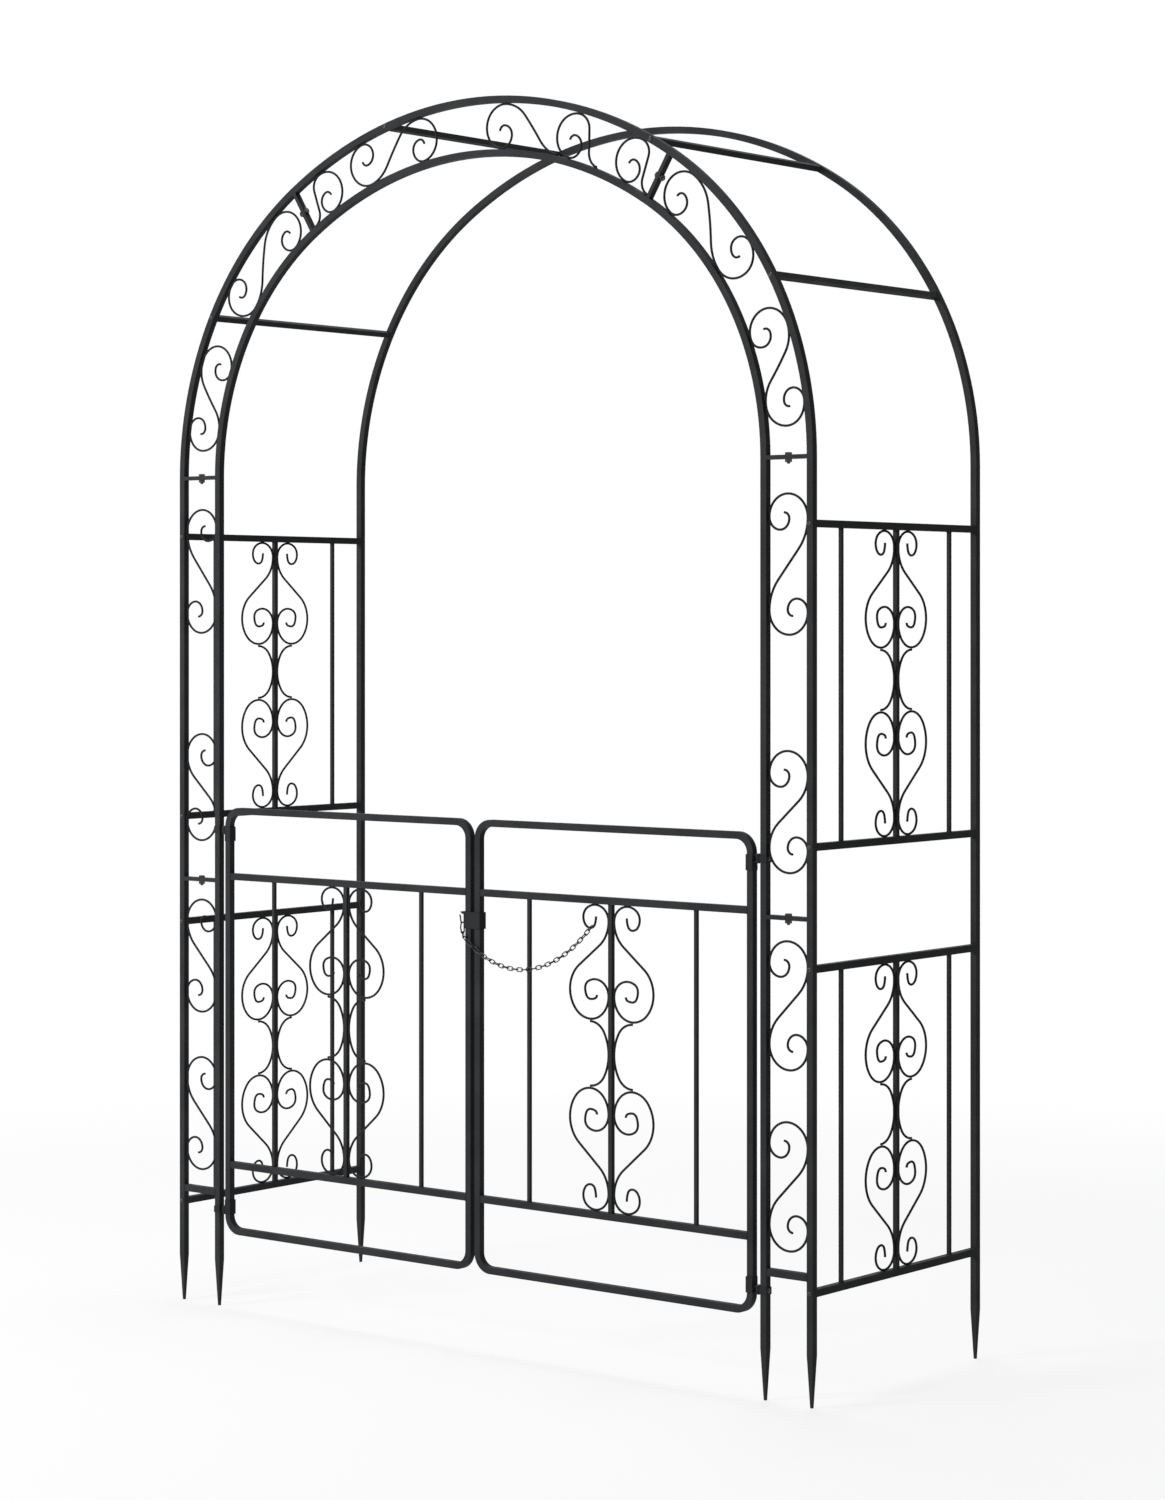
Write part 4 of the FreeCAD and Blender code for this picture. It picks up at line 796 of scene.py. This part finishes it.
def touches(scroll, holders):
    """The middle, the wire's direction and the steel's normal where a scroll meets what holds it."""
    steel = surface_of(holders)
    patches = []
    for v in nodes[scroll].data.vertices:
        point, normal, _, _ = steel.find_nearest(v.co, TOUCH)
        if point is None:
            continue
        for patch, face in patches:
            if (patch[0] - v.co).length < PATCH_REACH and face.dot(normal) > SAME_SIDE:
                patch.append(v.co.copy())
                break
        else:
            patches.append(([v.co.copy()], normal.copy()))
    found = []
    for patch, normal in patches:
        points = np.array(patch)
        centre = points.mean(axis=0)
        _, _, directions = np.linalg.svd(points - centre, full_matrices=False)
        along = Vector(directions[0])
        along = (along - normal * along.dot(normal)).normalized()
        found.append((Vector(centre), along, normal))
    return found


touch_points = {body: [touch for scroll, holders in scrolls.items()
                       for touch in touches(scroll, holders)]
                for body, scrolls in SCROLL_HOLDERS.items()}
print({body: len(found) for body, found in touch_points.items()})

# %% [markdown]
# A weld bead is a low ball, stretched along the wire and made slightly uneven, that fills the corner on
# each side of it. No two beads of a real weld are the same, so each has its own length and its own
# unevenness, from one fixed seed.

# %% Weld the scrolls
BEAD_LENGTH = (5.0 * MILLIMETRE, 7.5 * MILLIMETRE)
BEAD_WIDTH = 4.8 * MILLIMETRE
BEAD_HEIGHT = 2.9 * MILLIMETRE
BEAD_RIPPLE, BEAD_NOISE = 0.09, 0.03
BEAD_WAVES = 19                    # radians of ripple along a bead
random.seed(11)


def bead_mesh(length):
    """A low, uneven ball of weld metal, its length along X."""
    bm = bmesh.new()
    bmesh.ops.create_icosphere(bm, subdivisions=3, radius=0.5)
    for v in bm.verts:
        ripple = math.sin(v.co.x * BEAD_WAVES) * BEAD_RIPPLE
        ripple += random.uniform(-BEAD_NOISE, BEAD_NOISE)
        v.co = v.co * (1 + ripple)
    bmesh.ops.scale(bm, verts=bm.verts, vec=(length, BEAD_WIDTH, BEAD_HEIGHT))
    return small_mesh(bm, "one_bead")


for body, found in touch_points.items():
    bm = bmesh.new()
    for centre, along, normal in found:
        matrix = placed(centre, along, normal.cross(along), normal)
        add_copies(bm, bead_mesh(random.uniform(*BEAD_LENGTH)), [matrix])
    finish_piece(bm, f"{body}_scroll_welds", body, "black_scroll_wire")

# %% [markdown]
# Rails and bars are welded all round where they meet a tube. Such a bead is a thin ring with the ripples
# of its passes, pressed into the corner between the two. It is spun as a round ring and then pushed out
# to the square shape of the tube, with soft corners, which is how the torch goes round one.

# %% Run a bead round a tube's end
BEAD_RADIUS = 1.0 * MILLIMETRE
RING_SIDES = 6
RING_STEPS = 48
RING_RIPPLE, RING_NOISE = 0.16, 0.06
RING_PASSES = 21                   # ripples round one tube
SOFT_CORNER = 1.28                 # how far a corner reaches, as a share of half the width


def ring_mesh(width, depth):
    """A rippled bead round the end of a bar of this section, in the plane across Z."""
    bm = bmesh.new()
    start = Matrix.Translation((0.5, 0, 0)) @ Matrix.Rotation(math.pi / 2, 4, "X")
    bmesh.ops.create_circle(bm, segments=RING_SIDES, radius=0.5, matrix=start)
    bmesh.ops.spin(bm, geom=bm.verts[:] + bm.edges[:], cent=(0, 0, 0), axis=(0, 0, 1),
                   angle=2 * math.pi, steps=RING_STEPS, use_merge=True)
    for v in bm.verts:
        turn = math.atan2(v.co.y, v.co.x)
        uneven = RING_RIPPLE * math.sin(turn * RING_PASSES)
        thick = BEAD_RADIUS * 2 * (1 + uneven + random.uniform(-RING_NOISE, RING_NOISE))
        square = min(SOFT_CORNER, 1 / max(abs(math.cos(turn)), abs(math.sin(turn))))
        outwards = (v.co.xy.length - 0.5) * thick
        reach = Vector((width / 2 * square + outwards, depth / 2 * square + outwards))
        v.co = Vector((math.cos(turn) * reach.x, math.sin(turn) * reach.y, v.co.z * thick))
    return small_mesh(bm, "one_ring")


print(f"a round of weld has {RING_SIDES * RING_STEPS} faces")

# %% [markdown]
# The ends to weld are read from the solids again: each rail or bar of a node is a long solid, so its own
# box gives both ends, its direction and its section. The rails of the side panels that run from front
# to back are screwed to the posts, so they get no bead.

# %% Find the welded ends
WELDED_BARS = {
    "arch_frame": ["lower_panel_frame_left", "lower_panel_frame_right", "upper_panel_frame_left",
                   "upper_panel_frame_right", "ladder_foot_bars"],
    "gate_left": ["gate_left_rails_and_bars"],
    "gate_right": ["gate_right_rails_and_bars"],
}


def boxes_of(name):
    """The lowest and highest corner of each solid in a node."""
    merged, solids = separate_solids(name)
    boxes = []
    for members in solids:
        points = np.array([corner.co for face in members for corner in face.verts])
        boxes.append((Vector(points.min(axis=0)), Vector(points.max(axis=0))))
    merged.free()
    return boxes


def ring_places(low, high, screwed=False):
    """Matrix and section of the bead at each end of a straight bar with these box corners."""
    size = high - low
    long = max(range(3), key=lambda k: size[k])
    if screwed and long == 1:
        return []
    across = [k for k in range(3) if k != long]
    found = []
    for end in (low, high):
        centre = (low + high) / 2
        centre[long] = end[long]
        axes = [Vector(1 if k == a else 0 for k in range(3)) for a in (*across, long)]
        if axes[0].cross(axes[1]).dot(axes[2]) < 0:
            axes[1] = -axes[1]
        found.append((placed(centre, *axes), size[across[0]], size[across[1]]))
    return found


welded_ends = {body: [end for name in names for low, high in boxes_of(name)
                      for end in ring_places(low, high, screwed="panel" in name)]
               for body, names in WELDED_BARS.items()}
print({body: len(ends) for body, ends in welded_ends.items()})

# %% [markdown]
# The beads of one body become one piece, which rides with the bars that it holds.

# %% Weld the rails and bars
for body, ends in welded_ends.items():
    bm = bmesh.new()
    for matrix, width, depth in ends:
        add_copies(bm, ring_mesh(width, depth), [matrix])
    finish_piece(bm, f"{body}_bar_welds", body, "black_tube")
